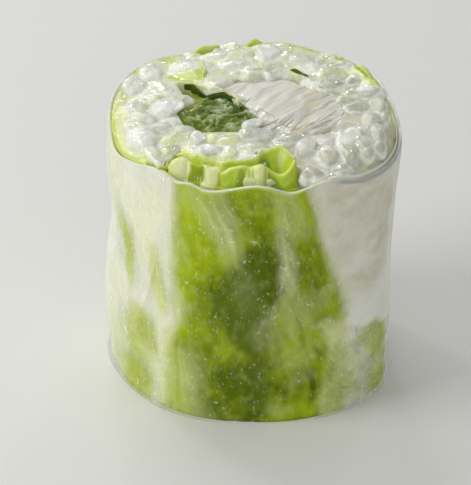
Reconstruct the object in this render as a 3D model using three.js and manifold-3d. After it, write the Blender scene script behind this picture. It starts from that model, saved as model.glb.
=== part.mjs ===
// One upright slice of a rice paper roll: a clear paper skin around a lettuce wrap, packed rice,
// a pale flaked filling and a bundle of fresh herbs. Every layer runs from the cut top to the
// flat cut foot. Millimetres, +Z up; the origin ends up under the middle, on the foot.

import * as THREE from 'three';
import { mergeVertices } from 'three/addons/utils/BufferGeometryUtils.js';
import Module from 'manifold-3d';

const wasm = await Module();
wasm.setup();

// ---------------------------------------------------------------- driving dimensions

const ROLL_RADIUS = 24.8;
const ROLL_HEIGHT = 46;
const LEAN = 1.2; // how far the top sits to +X of the foot

// The roll is pressed out of round: each lobe swells a number of sides by a little.
const LOBES = [
  { sides: 2, swell: 0.48, at: -54 },
  { sides: 3, swell: 0.5, at: -52 },
  { sides: 4, swell: 0.39, at: -31 },
];

// Soft bulges (out > 0) and dents (out < 0) in the sides: direction, height, reach and depth.
const BULGES = [
  { at: 180, z: 40, wide: 26, tall: 8, out: 0.5 },
  { at: 178, z: 28, wide: 24, tall: 5, out: -0.5 },
  { at: 180, z: 14, wide: 26, tall: 7, out: 0.6 },
  { at: -155, z: 1, wide: 24, tall: 6, out: -0.4 },
  { at: -4, z: 43, wide: 24, tall: 5, out: 0.6 },
  { at: 0, z: 23, wide: 24, tall: 7, out: -0.4 },
  { at: -22, z: 2, wide: 20, tall: 6, out: 0.4 },
  { at: 100, z: 18, wide: 30, tall: 10, out: 0.4 },
];

// The knife's cut: height of the paper's edge at each direction, in degrees from +X.
const CUT_EDGE = [
  [-180, 46.2], [-166, 43.4], [-149, 44.2], [-132, 45.7], [-112, 44.6], [-88, 46.1],
  [-74, 44.8], [-63, 46.0], [-45, 44.5], [-15, 44.2], [10, 46.6], [32, 48.0],
  [60, 47.5], [84, 48.1], [108, 47.2], [138, 48.3], [160, 47.6],
];

const PAPER_THICKNESS = 0.5;
const LAP_STEP = 0.3; // the paper's end lies this proud over the turn below
const LAP_TURN = 75; // degrees over which the paper is double
const CLEARANCE = 0.3;

const LEAF = { thickness: 0.9, wave: 0.3 };
const GRAIN = { length: 5.8, width: 3.1, height: 2.7 };

// Depths in from the outer skin at which each layer starts.
const LEAF_DEPTH = PAPER_THICKNESS + LAP_STEP + CLEARANCE;
const RICE_BARE_DEPTH = LEAF_DEPTH;
const RICE_DEPTH = LEAF_DEPTH + LEAF.wave + LEAF.thickness + 1.3 * CLEARANCE;

// The lettuce wrap starts at LEAF_START and goes round counter-clockwise past the back. Over the
// front right it is torn off low: the share of the rim height that it reaches at each direction.
const LEAF_START = -8;
const LEAF_END = 346;
const LEAF_TEAR = [[289, 1], [296, 0.79], [304, 0.56], [310, 0.41], [318, 0.37], [346, 0.36]];
const LEAF_MARGIN = { turn: 6, rise: 4 };

// The ruffled fold of lettuce that stands up inside the front of the rim: straight up to its
// shoulder, then leaning in. It reaches further in at its right-hand corner.
const FRILL = {
  from: -124, to: -69, thickness: 0.7, shoulder: 45.4, rise: 2.9, droop: 0.5, sway: 0.35,
  reachLeft: 4.2, reachRight: 7.6, pleats: 5.5, pleatDepth: 0.9, foldShare: 0.25,
};
const FRILL_DEPTH = RICE_DEPTH + FRILL.thickness / 2;
const RICE_FRILL_DEPTH = FRILL_DEPTH + FRILL.thickness / 2 + 1.6 * CLEARANCE;

// The packed rice: its bare top, and the grains that stand in it.
const RICE = {
  top: 45.9, riseToBack: 0.052, lump: 0.25, grainSpacing: 3.6, grainShift: 1.1, grainLift: 0.55,
  seed: 7, edgeRoom: 1.3, holeRoom: 0.9, clearOfFrill: 13.2,
};

// The fillings seen from above at the cut, as closed curves through a few points, clockwise.
const PALE = {
  top: 46.7, steps: 44,
  outline: [
    [-6.3, 9.2], [-4.3, 12.4], [-0.9, 13.9], [3.6, 14.6], [8.2, 11.6], [13.4, 5.6],
    [15.4, -0.8], [10.2, -6.6], [4.8, -2.2], [-0.6, 4.6],
  ],
};
const HERBS = {
  top: 45.9, steps: 36,
  outline: [
    [-12.4, 8.6], [-9.4, 8.6], [-7.0, 6.2], [-3.6, 4.3], [-0.6, 0.6], [1.2, -2.6],
    [-2.4, -6.0], [-6.6, -5.7], [-10.6, -3.8], [-12.8, 1.6], [-11.2, 5.0],
  ],
};

// Single leaves seen from above at the cut: a middle line, wide in the middle and thin-ended.
const SINGLE_LEAVES = [
  {
    name: 'herb_leaf_dark', width: 0.9, top: 46.6, color: 0x2f4a1a,
    line: [[-13.8, 10.2], [-10.4, 10.3], [-7.0, 7.6], [-3.6, 5.9], [-0.6, 2.4]],
  },
  {
    name: 'herb_leaf_back', width: 1.1, top: 46.6, color: 0x3b5a20,
    line: [[5.6, 15.8], [8.0, 13.9], [10.4, 12.4]],
  },
  {
    name: 'lettuce_shred', width: 1.3, top: 46.9, color: 0xb9d35a,
    line: [[-10.2, 18.2], [-8.6, 16.0], [-7.8, 13.4], [-8.0, 11.3]],
  },
];
const SINGLE_LEAF_STEPS = 10;
const SINGLE_LEAF_TIP = 0.35; // share of the width left at the two ends
const HOLE_GROWTH = CLEARANCE + 0.1; // the rice keeps this far from each filling
const ABOVE_ALL = 55; // higher than anything in the slice

// ---------------------------------------------------------------- small maths

const radians = THREE.MathUtils.degToRad;

/** Repeatable random numbers between 0 and 1. */
function seededRandom(seed) {
  let state = seed >>> 0;
  return () => {
    state = (state + 0x6d2b79f5) >>> 0;
    let mixed = Math.imul(state ^ (state >>> 15), 1 | state);
    mixed = (mixed + Math.imul(mixed ^ (mixed >>> 7), 61 | mixed)) ^ mixed;
    return ((mixed ^ (mixed >>> 14)) >>> 0) / 4294967296;
  };
}

/** Signed turn from one direction to another, between -180 and 180 degrees. */
function turnBetween(from, to) {
  return THREE.MathUtils.euclideanModulo(to - from + 180, 360) - 180;
}

/** Smooth height around the rim, through the knots of the cut edge. */
function rimHeight(angle) {
  const count = CUT_EDGE.length;
  const wrapped = THREE.MathUtils.euclideanModulo(angle + 180, 360) - 180;
  let last = count - 1;
  while (CUT_EDGE[last][0] > wrapped) {
    last -= 1;
  }
  const knot = (i) => {
    const laps = Math.floor(i / count);
    const [at, height] = CUT_EDGE[i - laps * count];
    return { at: at + laps * 360, height };
  };
  const [before, here, next, after] = [-1, 0, 1, 2].map((step) => knot(last + step));
  const span = next.at - here.at;
  const t = (wrapped - here.at) / span;
  const slopeHere = ((next.height - before.height) / (next.at - before.at)) * span;
  const slopeNext = ((after.height - here.height) / (after.at - here.at)) * span;
  return (
    (2 * t ** 3 - 3 * t ** 2 + 1) * here.height + (t ** 3 - 2 * t ** 2 + t) * slopeHere +
    (3 * t ** 2 - 2 * t ** 3) * next.height + (t ** 3 - t ** 2) * slopeNext
  );
}

/** Radius of the outer skin at a direction and height. */
function skinRadius(angle, z) {
  let radius = ROLL_RADIUS;
  for (const lobe of LOBES) {
    radius += lobe.swell * Math.cos(lobe.sides * radians(angle - lobe.at));
  }
  for (const bulge of BULGES) {
    const across = turnBetween(bulge.at, angle) / bulge.wide;
    const along = (z - bulge.z) / bulge.tall;
    radius += bulge.out * Math.exp(-across * across - along * along);
  }
  return radius;
}

/** A point a given depth inside the outer skin. */
function rollPoint(angle, depth, z) {
  const radius = skinRadius(angle, z) - depth;
  const axisX = LEAN * (z / ROLL_HEIGHT - 0.5);
  return new THREE.Vector3(
    axisX + radius * Math.cos(radians(angle)), radius * Math.sin(radians(angle)), z);
}

/** Height of the packed rice's bare top: it rises towards the back. */
function riceTop(x, y) {
  return RICE.top + RICE.riseToBack * y
    + RICE.lump * Math.sin(0.55 * x + 0.4) * Math.cos(0.47 * y);
}

// ---------------------------------------------------------------- closed bodies from grids

function geometryFrom(points, triangles) {
  const geometry = new THREE.BufferGeometry();
  const positions = new Float32Array(points.flatMap((p) => [p.x, p.y, p.z]));
  geometry.setAttribute('position', new THREE.BufferAttribute(positions, 3));
  geometry.setIndex(triangles);
  return geometry;
}

/** Two triangles for the corners a, b, c, d, named round the face from outside. */
function addQuad(triangles, a, b, c, d) {
  triangles.push(a, b, c, a, c, d);
}

/**
 * A thin solid between two grids of points, outer[row][column] and inner[row][column], with
 * rows upwards and columns counter-clockwise. A closed one joins its last column to its first.
 */
function thinSolid(outer, inner, closed) {
  const rows = outer.length;
  const columns = outer[0].length;
  const points = [...outer.flat(), ...inner.flat()];
  const out = (row, column) => row * columns + (column % columns);
  const into = (row, column) => rows * columns + out(row, column);
  const steps = closed ? columns : columns - 1;
  const triangles = [];
  for (let row = 0; row < rows - 1; row += 1) {
    for (let c = 0; c < steps; c += 1) {
      addQuad(triangles, out(row, c), out(row, c + 1), out(row + 1, c + 1), out(row + 1, c));
      addQuad(triangles, into(row, c + 1), into(row, c), into(row + 1, c), into(row + 1, c + 1));
    }
  }
  const top = rows - 1;
  for (let c = 0; c < steps; c += 1) {
    addQuad(triangles, into(0, c), into(0, c + 1), out(0, c + 1), out(0, c));
    addQuad(triangles, out(top, c), out(top, c + 1), into(top, c + 1), into(top, c));
  }
  if (!closed) {
    const end = columns - 1;
    for (let row = 0; row < rows - 1; row += 1) {
      addQuad(triangles, into(row, 0), out(row, 0), out(row + 1, 0), into(row + 1, 0));
      addQuad(triangles, out(row, end), into(row, end), into(row + 1, end), out(row + 1, end));
    }
  }
  return geometryFrom(points, triangles);
}

/** A solid skinned over rings of points from the foot up, each end closed at its middle. */
function stackedRings(rings) {
  const count = rings[0].length;
  const points = rings.flat();
  const triangles = [];
  for (let ring = 0; ring < rings.length - 1; ring += 1) {
    for (let i = 0; i < count; i += 1) {
      const next = (i + 1) % count;
      addQuad(triangles, ring * count + i, ring * count + next,
        (ring + 1) * count + next, (ring + 1) * count + i);
    }
  }
  const middle = (ring) => ring.reduce((sum, p) => sum.add(p), new THREE.Vector3())
    .divideScalar(count);
  const foot = points.push(middle(rings[0])) - 1;
  const head = points.push(middle(rings[rings.length - 1])) - 1;
  const topStart = (rings.length - 1) * count;
  for (let i = 0; i < count; i += 1) {
    const next = (i + 1) % count;
    triangles.push(foot, next, i);
    triangles.push(head, topStart + i, topStart + next);
  }
  return geometryFrom(points, triangles);
}

// ---------------------------------------------------------------- joining and cutting

function toSolid(geometry) {
  const bare = geometry.clone();
  bare.deleteAttribute('normal');
  bare.deleteAttribute('uv');
  const merged = mergeVertices(bare, 1e-5);
  return new wasm.Manifold(new wasm.Mesh({
    numProp: 3,
    vertProperties: new Float32Array(merged.attributes.position.array),
    triVerts: new Uint32Array(merged.index.array),
  }));
}

function toGeometry(solid) {
  const mesh = solid.getMesh();
  const geometry = new THREE.BufferGeometry();
  geometry.setAttribute('position', new THREE.BufferAttribute(mesh.vertProperties, mesh.numProp));
  geometry.setIndex(new THREE.BufferAttribute(mesh.triVerts, 1));
  return geometry;
}

// ---------------------------------------------------------------- the paper skin

/** Direction of the paper's outer end, which runs up the front left and wanders a little. */
function lapEdge(z) {
  return -137 + 5 * Math.sin(z / 13 + 0.6) + (z / ROLL_HEIGHT) * 8;
}

function makeRicePaper() {
  const columns = 64;
  const heights = [0, 0.15, 0.3, 0.45, 0.6, 0.74, 0.87, 1];
  const face = (depthAt) => heights.map((share) => {
    const ring = [];
    for (let c = 0; c < columns; c += 1) {
      const angle = -180 + (360 * c) / columns;
      const z = share * rimHeight(angle);
      const past = THREE.MathUtils.euclideanModulo(angle - lapEdge(z), 360);
      ring.push(rollPoint(angle, depthAt(past), z));
    }
    return ring;
  });
  const outerDepth = (past) => LAP_STEP * (past / 360);
  const innerDepth = (past) => {
    const doubled = THREE.MathUtils.smoothstep(LAP_TURN - past, 0, 6);
    return PAPER_THICKNESS + LAP_STEP * Math.max(doubled, past / 360);
  };
  return thinSolid(face(outerDepth), face(innerDepth), true);
}

// ---------------------------------------------------------------- lettuce

/** Share of the rim height that the wrap reaches at a direction, whole until it is torn. */
function leafShare(turn) {
  const after = LEAF_TEAR.findIndex(([at]) => at > turn);
  if (after <= 0) {
    return after === 0 ? 1 : LEAF_TEAR[LEAF_TEAR.length - 1][1];
  }
  const [[from, high], [to, low]] = [LEAF_TEAR[after - 1], LEAF_TEAR[after]];
  return THREE.MathUtils.mapLinear(turn, from, to, high, low);
}

/** Height of the wrap's top edge; it stands a little over or under the paper's edge. */
function leafTop(angle) {
  const turn = LEAF_START + THREE.MathUtils.euclideanModulo(angle - LEAF_START, 360);
  const ruffle = 0.25 * Math.sin(radians(angle * 5)) + 0.35 * Math.sin(radians(angle * 11 + 40));
  return leafShare(turn) * rimHeight(angle) + ruffle - 0.1;
}

function leafWave(angle, z) {
  const ripple = Math.sin(radians(angle * 9) + z * 0.45) * Math.cos(z * 0.31);
  return LEAF.wave * (0.5 + 0.5 * ripple);
}

function makeLettuceWrap() {
  const columns = 70;
  const shares = [0, 0.13, 0.26, 0.39, 0.52, 0.65, 0.82, 1];
  const face = (extra) => shares.map((share) => {
    const row = [];
    for (let c = 0; c <= columns; c += 1) {
      const angle = THREE.MathUtils.lerp(LEAF_START, LEAF_END, c / columns);
      const z = share * leafTop(angle);
      row.push(rollPoint(angle, LEAF_DEPTH + leafWave(angle, z) + extra, z));
    }
    return row;
  });
  return thinSolid(face(0), face(LEAF.thickness), false);
}

/** Middle surface of the frill: straight up behind the paper, then pleated and folded in. */
function frillPoint(across, up) {
  const angle = THREE.MathUtils.lerp(FRILL.from, FRILL.to, across);
  const bend = 1 - FRILL.foldShare;
  const straight = Math.min(up, bend) / bend;
  const fold = Math.max(0, up - bend) / FRILL.foldShare;
  const lean = (fold * Math.PI) / 2;
  const corner = THREE.MathUtils.smoothstep(across, 0.55, 0.85);
  const reach = THREE.MathUtils.lerp(FRILL.reachLeft, FRILL.reachRight, corner);
  const pleat = Math.sin(2 * Math.PI * FRILL.pleats * across + 0.8);
  const depth = FRILL_DEPTH + reach * (1 - Math.cos(lean))
    + FRILL.pleatDepth * pleat * fold * Math.min(1, 3 * fold);
  const z = straight * FRILL.shoulder + FRILL.rise * Math.sin(lean)
    - FRILL.droop * fold * fold + FRILL.sway * fold * Math.cos(9 * across);
  return rollPoint(angle, depth, z);
}

function makeLettuceFrill() {
  const columns = 40;
  const heights = [0, 0.35, 0.7, 0.78, 0.84, 0.9, 0.95, 1];
  const small = 0.002;
  const face = (side) => heights.map((up) => {
    const row = [];
    for (let c = 0; c <= columns; c += 1) {
      const across = c / columns;
      const here = frillPoint(across, up);
      const right = frillPoint(across + small, up).sub(frillPoint(across - small, up));
      const rise = frillPoint(across, Math.min(1, up + small))
        .sub(frillPoint(across, Math.max(0, up - small)));
      const normal = right.cross(rise).normalize();
      if (up === 0) {
        normal.setZ(0).normalize();
      }
      row.push(here.addScaledVector(normal, (side * FRILL.thickness) / 2));
    }
    return row;
  });
  return thinSolid(face(1), face(-1), false);
}

// ---------------------------------------------------------------- fillings as columns

/** Evenly spaced points on the closed curve through a clockwise outline, grown outwards. */
function outlineRing(filling, grow) {
  const knots = filling.outline.map(([x, y]) => new THREE.Vector3(x, y, 0));
  const curve = new THREE.CatmullRomCurve3(knots, true, 'centripetal');
  const ring = [];
  for (let i = 0; i < filling.steps; i += 1) {
    const point = curve.getPointAt(i / filling.steps);
    const along = curve.getTangentAt(i / filling.steps);
    ring.push(new THREE.Vector2(point.x - along.y * grow, point.y + along.x * grow));
  }
  return ring.reverse();
}

/** A column with the outline's shape; its top is domed and given relief by a function. */
function column(ring, top, relief) {
  const centre = ring.reduce((sum, p) => sum.add(p), new THREE.Vector2()).divideScalar(ring.length);
  const level = (scale, height) => ring.map((p) => {
    const x = centre.x + (p.x - centre.x) * scale;
    const y = centre.y + (p.y - centre.y) * scale;
    return new THREE.Vector3(x, y, height(x, y));
  });
  const rings = [0, 15, 30, 42].map((z) => level(1, () => z));
  for (const [scale, rise] of [[1, -0.5], [0.86, 0], [0.6, 0.15], [0.3, 0.2]]) {
    rings.push(level(scale, (x, y) => top + rise + relief(x, y)));
  }
  return stackedRings(rings);
}

/** Torn streaks that run along the pale filling, towards +X and slightly down. */
function streaks(x, y) {
  const across = 0.35 * x + y;
  return 0.22 * Math.sin(across * 2.1) + 0.15 * Math.sin(across * 4.3 + 0.5 * x);
}

function crumple(x, y) {
  return 0.45 * Math.sin(1.1 * x + 0.7 * y) * Math.cos(1.3 * y - 0.4 * x);
}

function makePaleFilling() {
  return column(outlineRing(PALE, 0), PALE.top, streaks);
}

function makeHerbBundle() {
  return column(outlineRing(HERBS, 0), HERBS.top, crumple);
}

/** The two sides of a single leaf from above, each from its first end to its last. */
function leafSides(leaf, grow) {
  const curve = new THREE.CatmullRomCurve3(leaf.line.map(([x, y]) => new THREE.Vector3(x, y, 0)));
  return [1, -1].map((sign) => {
    const points = [];
    for (let i = 0; i <= SINGLE_LEAF_STEPS; i += 1) {
      const share = i / SINGLE_LEAF_STEPS;
      const full = THREE.MathUtils.lerp(SINGLE_LEAF_TIP, 1, Math.sin(Math.PI * share));
      const half = sign * ((leaf.width / 2) * full + grow);
      const past = grow * ((i === SINGLE_LEAF_STEPS ? 1 : 0) - (i === 0 ? 1 : 0));
      const point = curve.getPointAt(share);
      const along = curve.getTangentAt(share);
      points.push(new THREE.Vector2(
        point.x - along.y * half + along.x * past, point.y + along.x * half + along.y * past));
    }
    return points;
  });
}

/** A thin standing leaf that weaves a little on its way up; its cut edge is uneven. */
function makeSingleLeaf(leaf) {
  const heights = [0, leaf.top * 0.35, leaf.top * 0.7, leaf.top];
  const [left, right] = leafSides(leaf, 0).map((side) => heights.map((z) => {
    const weave = 0.06 * Math.sin((2 * Math.PI * z) / leaf.top);
    const cut = (p) => (z === leaf.top ? 0.15 * Math.sin(1.7 * p.x + p.y) : 0);
    return side.map((p) => new THREE.Vector3(p.x + weave, p.y - weave, z + cut(p)));
  }));
  return thinSolid(right, left, false);
}

// ---------------------------------------------------------------- packed rice

/** Depth of the rice's side: behind the frill, behind the wrap, or straight behind paper. */
function riceDepth(angle, z) {
  const middle = (FRILL.from + FRILL.to) / 2;
  const reach = (FRILL.to - FRILL.from) / 2 + LEAF_MARGIN.turn;
  if (Math.abs(turnBetween(middle, angle)) < reach) {
    return RICE_FRILL_DEPTH;
  }
  const nearby = [-1, -0.5, 0, 0.5, 1].map((share) => leafTop(angle + share * LEAF_MARGIN.turn));
  return z < Math.max(...nearby) + LEAF_MARGIN.rise ? RICE_DEPTH : RICE_BARE_DEPTH;
}

/** A ring round the rice's side at a height. */
function riceRing(z) {
  const columns = 60;
  const points = [];
  for (let c = 0; c < columns; c += 1) {
    const angle = (360 * c) / columns;
    points.push(rollPoint(angle, riceDepth(angle, Math.min(z, ROLL_HEIGHT)), z));
  }
  return points;
}

const RICE_SIDE_HEIGHTS = [0, 11, 18, 22, 26, 31, 38];

/** The bare packed rice, up to its lumpy top. */
function riceCore() {
  const edge = riceRing(ROLL_HEIGHT);
  const top = [1, 0.72, 0.4].map((scale) => edge.map((p) => {
    const [x, y] = [p.x * scale, p.y * scale];
    return new THREE.Vector3(x, y, riceTop(x, y));
  }));
  return stackedRings([...RICE_SIDE_HEIGHTS.map(riceRing), ...top]);
}

/** The space that the rice and its grains may fill inside the layers around it. */
function riceSpace() {
  return stackedRings([...RICE_SIDE_HEIGHTS.map(riceRing), riceRing(ABOVE_ALL)]);
}

/** One grain with few sides, lying along a direction and tipped up by a pitch. */
function makeGrain(centre, heading, pitch, size) {
  const grain = new THREE.SphereGeometry(0.5, 5, 4);
  grain.rotateZ(Math.PI / 2);
  grain.scale(GRAIN.length * size, GRAIN.width * size, GRAIN.height * size);
  grain.rotateY(-pitch);
  grain.rotateZ(heading);
  grain.translate(centre.x, centre.y, centre.z);
  return grain;
}

/** Grains on a loose triangular net over the rice's top, where a test keeps them. */
function scatterGrains(keep) {
  const random = seededRandom(RICE.seed);
  const spread = (width) => (random() - 0.5) * width;
  const grains = [];
  const rowStep = RICE.grainSpacing * Math.sqrt(0.75);
  const reach = Math.ceil(ROLL_RADIUS / rowStep);
  for (let row = -reach; row <= reach; row += 1) {
    for (let i = -reach; i <= reach; i += 1) {
      const x = (i + (row % 2) / 2) * RICE.grainSpacing + spread(RICE.grainShift);
      const y = row * rowStep + spread(RICE.grainShift);
      const heading = random() * Math.PI;
      const pitch = 0.13 + spread(0.9);
      const size = 0.98 + spread(0.2);
      const lift = RICE.grainLift - 0.4 + spread(0.5);
      if (keep(x, y)) {
        const centre = new THREE.Vector3(x, y, riceTop(x, y) + lift);
        grains.push(makeGrain(centre, heading, pitch, size));
      }
    }
  }
  return grains;
}

function insideRing(ring, x, y) {
  let inside = false;
  ring.forEach((a, i) => {
    const b = ring[(i + ring.length - 1) % ring.length];
    const crossing = ((b.x - a.x) * (y - a.y)) / (b.y - a.y) + a.x;
    if ((a.y > y) !== (b.y > y) && x < crossing) {
      inside = !inside;
    }
  });
  return inside;
}

/** Whether a grain may stand here: clear of the sides, the holes and the space under the frill. */
function grainFits(x, y, holes) {
  const angle = THREE.MathUtils.radToDeg(Math.atan2(y, x));
  const out = Math.hypot(x, y);
  const room = skinRadius(angle, ROLL_HEIGHT) - riceDepth(angle, ROLL_HEIGHT) - out;
  const underFrill = riceDepth(angle, ROLL_HEIGHT) === RICE_FRILL_DEPTH && out > RICE.clearOfFrill;
  const nearHole = holes.some((ring) => insideRing(ring, x, y)
    || ring.some((p) => Math.hypot(p.x - x, p.y - y) < RICE.holeRoom));
  return room > RICE.edgeRoom && !underFrill && !nearHole;
}

/** Packed rice round the fillings' holes, with grains fused on top; loose scraps are dropped. */
function makeRice(holes) {
  let rice = toSolid(riceCore());
  for (const grain of scatterGrains((x, y) => grainFits(x, y, holes))) {
    rice = rice.add(toSolid(grain));
  }
  for (const ring of holes) {
    const level = (z) => ring.map((p) => new THREE.Vector3(p.x, p.y, z));
    rice = rice.subtract(toSolid(stackedRings([level(-1), level(ABOVE_ALL)])));
  }
  const pieces = rice.intersect(toSolid(riceSpace())).decompose();
  pieces.sort((a, b) => b.volume() - a.volume());
  return toGeometry(pieces[0]);
}

// ---------------------------------------------------------------- the whole slice

function named(name, geometry, color, roughness) {
  geometry.computeVertexNormals();
  const material = new THREE.MeshStandardMaterial({ color, roughness, metalness: 0 });
  const mesh = new THREE.Mesh(geometry, material);
  mesh.name = name;
  return mesh;
}

function makeSlice() {
  const slice = new THREE.Group();
  const leafHoles = SINGLE_LEAVES.map((leaf) => {
    const [left, right] = leafSides(leaf, HOLE_GROWTH);
    return [...right, ...left.reverse()];
  });
  const holes = [outlineRing(PALE, HOLE_GROWTH), outlineRing(HERBS, HOLE_GROWTH), ...leafHoles];
  slice.add(named('rice_paper', makeRicePaper(), 0xdfe5d6, 0.3));
  slice.add(named('lettuce_wrap', makeLettuceWrap(), 0x9dbb3c, 0.4));
  slice.add(named('lettuce_frill', makeLettuceFrill(), 0xa8c43c, 0.4));
  slice.add(named('rice', makeRice(holes), 0xe4e5dc, 0.35));
  slice.add(named('pale_filling', makePaleFilling(), 0xcbc8bf, 0.55));
  slice.add(named('herb_bundle', makeHerbBundle(), 0x677739, 0.5));
  for (const leaf of SINGLE_LEAVES) {
    slice.add(named(leaf.name, makeSingleLeaf(leaf), leaf.color, 0.5));
  }
  const box = new THREE.Box3().setFromObject(slice, true);
  slice.position.set(-(box.min.x + box.max.x) / 2, -(box.min.y + box.max.y) / 2, -box.min.z);
  return slice;
}

export default makeSlice();
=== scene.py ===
"""Looks of one upright slice of a rice paper roll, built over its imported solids.

A milky film of rice paper wraps a lettuce leaf, packed rice, a pale flaked filling and wet green
herbs. Sizes are in millimetres and degrees, in the frame of the solids, until a mesh is made.
"""

import logging
import math
from collections.abc import Sequence
from dataclasses import dataclass, replace
from enum import Enum

import bmesh
import bpy
import numpy as np
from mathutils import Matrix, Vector

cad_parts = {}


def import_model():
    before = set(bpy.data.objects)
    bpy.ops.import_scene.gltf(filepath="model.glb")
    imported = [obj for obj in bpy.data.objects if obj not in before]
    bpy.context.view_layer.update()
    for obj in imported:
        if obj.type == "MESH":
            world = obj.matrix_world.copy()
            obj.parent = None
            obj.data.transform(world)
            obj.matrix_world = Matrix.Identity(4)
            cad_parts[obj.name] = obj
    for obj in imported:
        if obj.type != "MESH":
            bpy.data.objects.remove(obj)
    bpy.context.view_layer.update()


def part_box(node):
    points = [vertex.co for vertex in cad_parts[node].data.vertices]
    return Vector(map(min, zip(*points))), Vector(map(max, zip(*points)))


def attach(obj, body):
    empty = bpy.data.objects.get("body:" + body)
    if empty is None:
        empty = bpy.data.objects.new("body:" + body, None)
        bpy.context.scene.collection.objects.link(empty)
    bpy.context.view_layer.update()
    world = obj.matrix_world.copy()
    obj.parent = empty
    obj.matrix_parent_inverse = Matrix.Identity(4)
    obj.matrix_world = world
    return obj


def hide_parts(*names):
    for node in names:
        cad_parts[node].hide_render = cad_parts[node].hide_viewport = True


log = logging.getLogger("rice_paper_roll")

Array = np.ndarray
Material = bpy.types.Material
Piece = bpy.types.Object
Colour = tuple[float, float, float, float]
Pair = tuple[float, float]
Place = tuple[float, float, float]
Paint = dict[str, Array]

MM = 0.001
# How far the camera sees, in metres.
FAR = 20.0
WHITE: Colour = (1.0, 1.0, 1.0, 1.0)


class Slot(Enum):
    """Material slots of the pieces."""

    PAPER = "rice_paper"
    LETTUCE = "lettuce"
    RICE = "cooked_rice"
    FILLING = "pale_filling"
    HERBS = "herbs"


# Small maths


def colour(*display: int) -> Colour:
    """Turns a display colour into a linear one.

    Args:
        display: Red, green and blue from 0 to 255.

    Returns:
        The linear colour.
    """
    shares = [value / 255 for value in display]
    linear = [share / 12.92 if share <= 0.04045 else ((share + 0.055) / 1.055) ** 2.4 for share in shares]
    return (*linear, 1.0)


def table(text: str) -> tuple[tuple[float, ...], ...]:
    """Rows of numbers from plain text, with a comma between rows."""
    return tuple(tuple(float(word) for word in row.split()) for row in text.split(","))


def ease(value: Array, start: float, end: float) -> Array:
    """Rises smoothly from 0 at start to 1 at end."""
    share = np.clip((value - start) / (end - start), 0.0, 1.0)
    return share * share * (3 - 2 * share)


def turn_between(start: float, end: Array) -> Array:
    """Signed turn from one direction to others, between -180 and 180 degrees."""
    return (end - start + 180) % 360 - 180


def lattice_value(corner: Array, seed: int) -> Array:
    """A fixed random value for each whole-numbered place.

    Args:
        corner: The places, (..., 3).
        seed: Chooses the values.

    Returns:
        Values from 0 to 1.
    """
    mask = np.uint64(0xFFFFFFFF)
    spread = corner.astype(np.int64).astype(np.uint64) * np.array([73856093, 19349663, 83492791], np.uint64)
    mixed = ((np.bitwise_xor.reduce(spread, axis=-1) & mask) + np.uint64(seed * 7919 + 17)) & mask
    for shift, factor in ((15, 2246822519), (13, 3266489917)):
        mixed = ((mixed ^ (mixed >> np.uint64(shift))) * np.uint64(factor)) & mask
    return (mixed ^ (mixed >> np.uint64(16))) / 0xFFFFFFFF


def lattice_noise(points: Array, cell: float | Sequence[float], seed: int) -> Array:
    """Smooth noise.

    Args:
        points: Places, (..., 3), in millimetres.
        cell: Size of the noise's cells, one for all axes or one each.
        seed: Chooses the pattern.

    Returns:
        A value between -1 and 1 for each point.
    """
    scaled = points / np.asarray(cell, float) + 19.37 * seed
    low = np.floor(scaled)
    part = scaled - low
    part = part * part * (3 - 2 * part)
    total = np.zeros(points.shape[:-1])
    for offset in np.ndindex(2, 2, 2):
        weight = np.prod(np.where(offset, part, 1 - part), axis=-1)
        total += weight * lattice_value(low + np.array(offset), seed)
    return 2 * total - 1


def noise(points: Array, cell: float | Sequence[float], seed: int, layers: int = 3) -> Array:
    """Noise with finer and fainter layers added.

    Args:
        points: Places, (..., 3), in millimetres.
        cell: Size of the widest cells, one for all axes or one each.
        seed: Chooses the pattern.
        layers: How many layers there are.

    Returns:
        A value of about -1 to 1 for each point.
    """
    size = np.asarray(cell)
    parts = [lattice_noise(points, size / 2**step, seed + step) / 2**step for step in range(layers)]
    return sum(parts) / (2 - 0.5 ** (layers - 1))


def cells(flat: Array, cell: float, seed: int) -> tuple[Array, Array, Array]:
    """Looks up a jittered net of knots.

    Args:
        flat: Places, (..., 2), in millimetres.
        cell: Spacing of the net.
        seed: Chooses the jitter.

    Returns:
        Distance to the nearest knot and to the second nearest, in cells, and the nearest one's
        own random value from 0 to 1.
    """
    scaled = flat / cell
    home = np.floor(scaled)
    nearest = np.full(flat.shape[:-1], 9.0)
    second, value = nearest.copy(), nearest.copy()
    for step in np.ndindex(3, 3):
        knot = home + np.array(step) - 1
        whole = np.concatenate([knot, np.zeros(knot.shape[:-1] + (1,))], axis=-1)
        jitter = np.stack([0.1 + 0.8 * lattice_value(whole, seed + 40 * axis) for axis in (1, 2)], axis=-1)
        away = np.linalg.norm(scaled - knot - jitter, axis=-1)
        second = np.minimum(second, np.maximum(nearest, away))
        value = np.where(away < nearest, lattice_value(whole, seed), value)
        nearest = np.minimum(nearest, away)
    return nearest, second, value


def hermite(t: Array, low: Array, low_rise: Array, high: Array, high_rise: Array) -> Array:
    """A cubic between two values with a rise at each, at shares t of the way."""
    start = (2 * t**3 - 3 * t**2 + 1) * low + (t**3 - 2 * t**2 + t) * low_rise
    return start + (3 * t**2 - 2 * t**3) * high + (t**3 - t**2) * high_rise


def across_line(along: Array) -> Array:
    """Flat directions a quarter turn to the left of others."""
    return np.stack([-along[:, 1], along[:, 0]], axis=-1)


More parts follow.
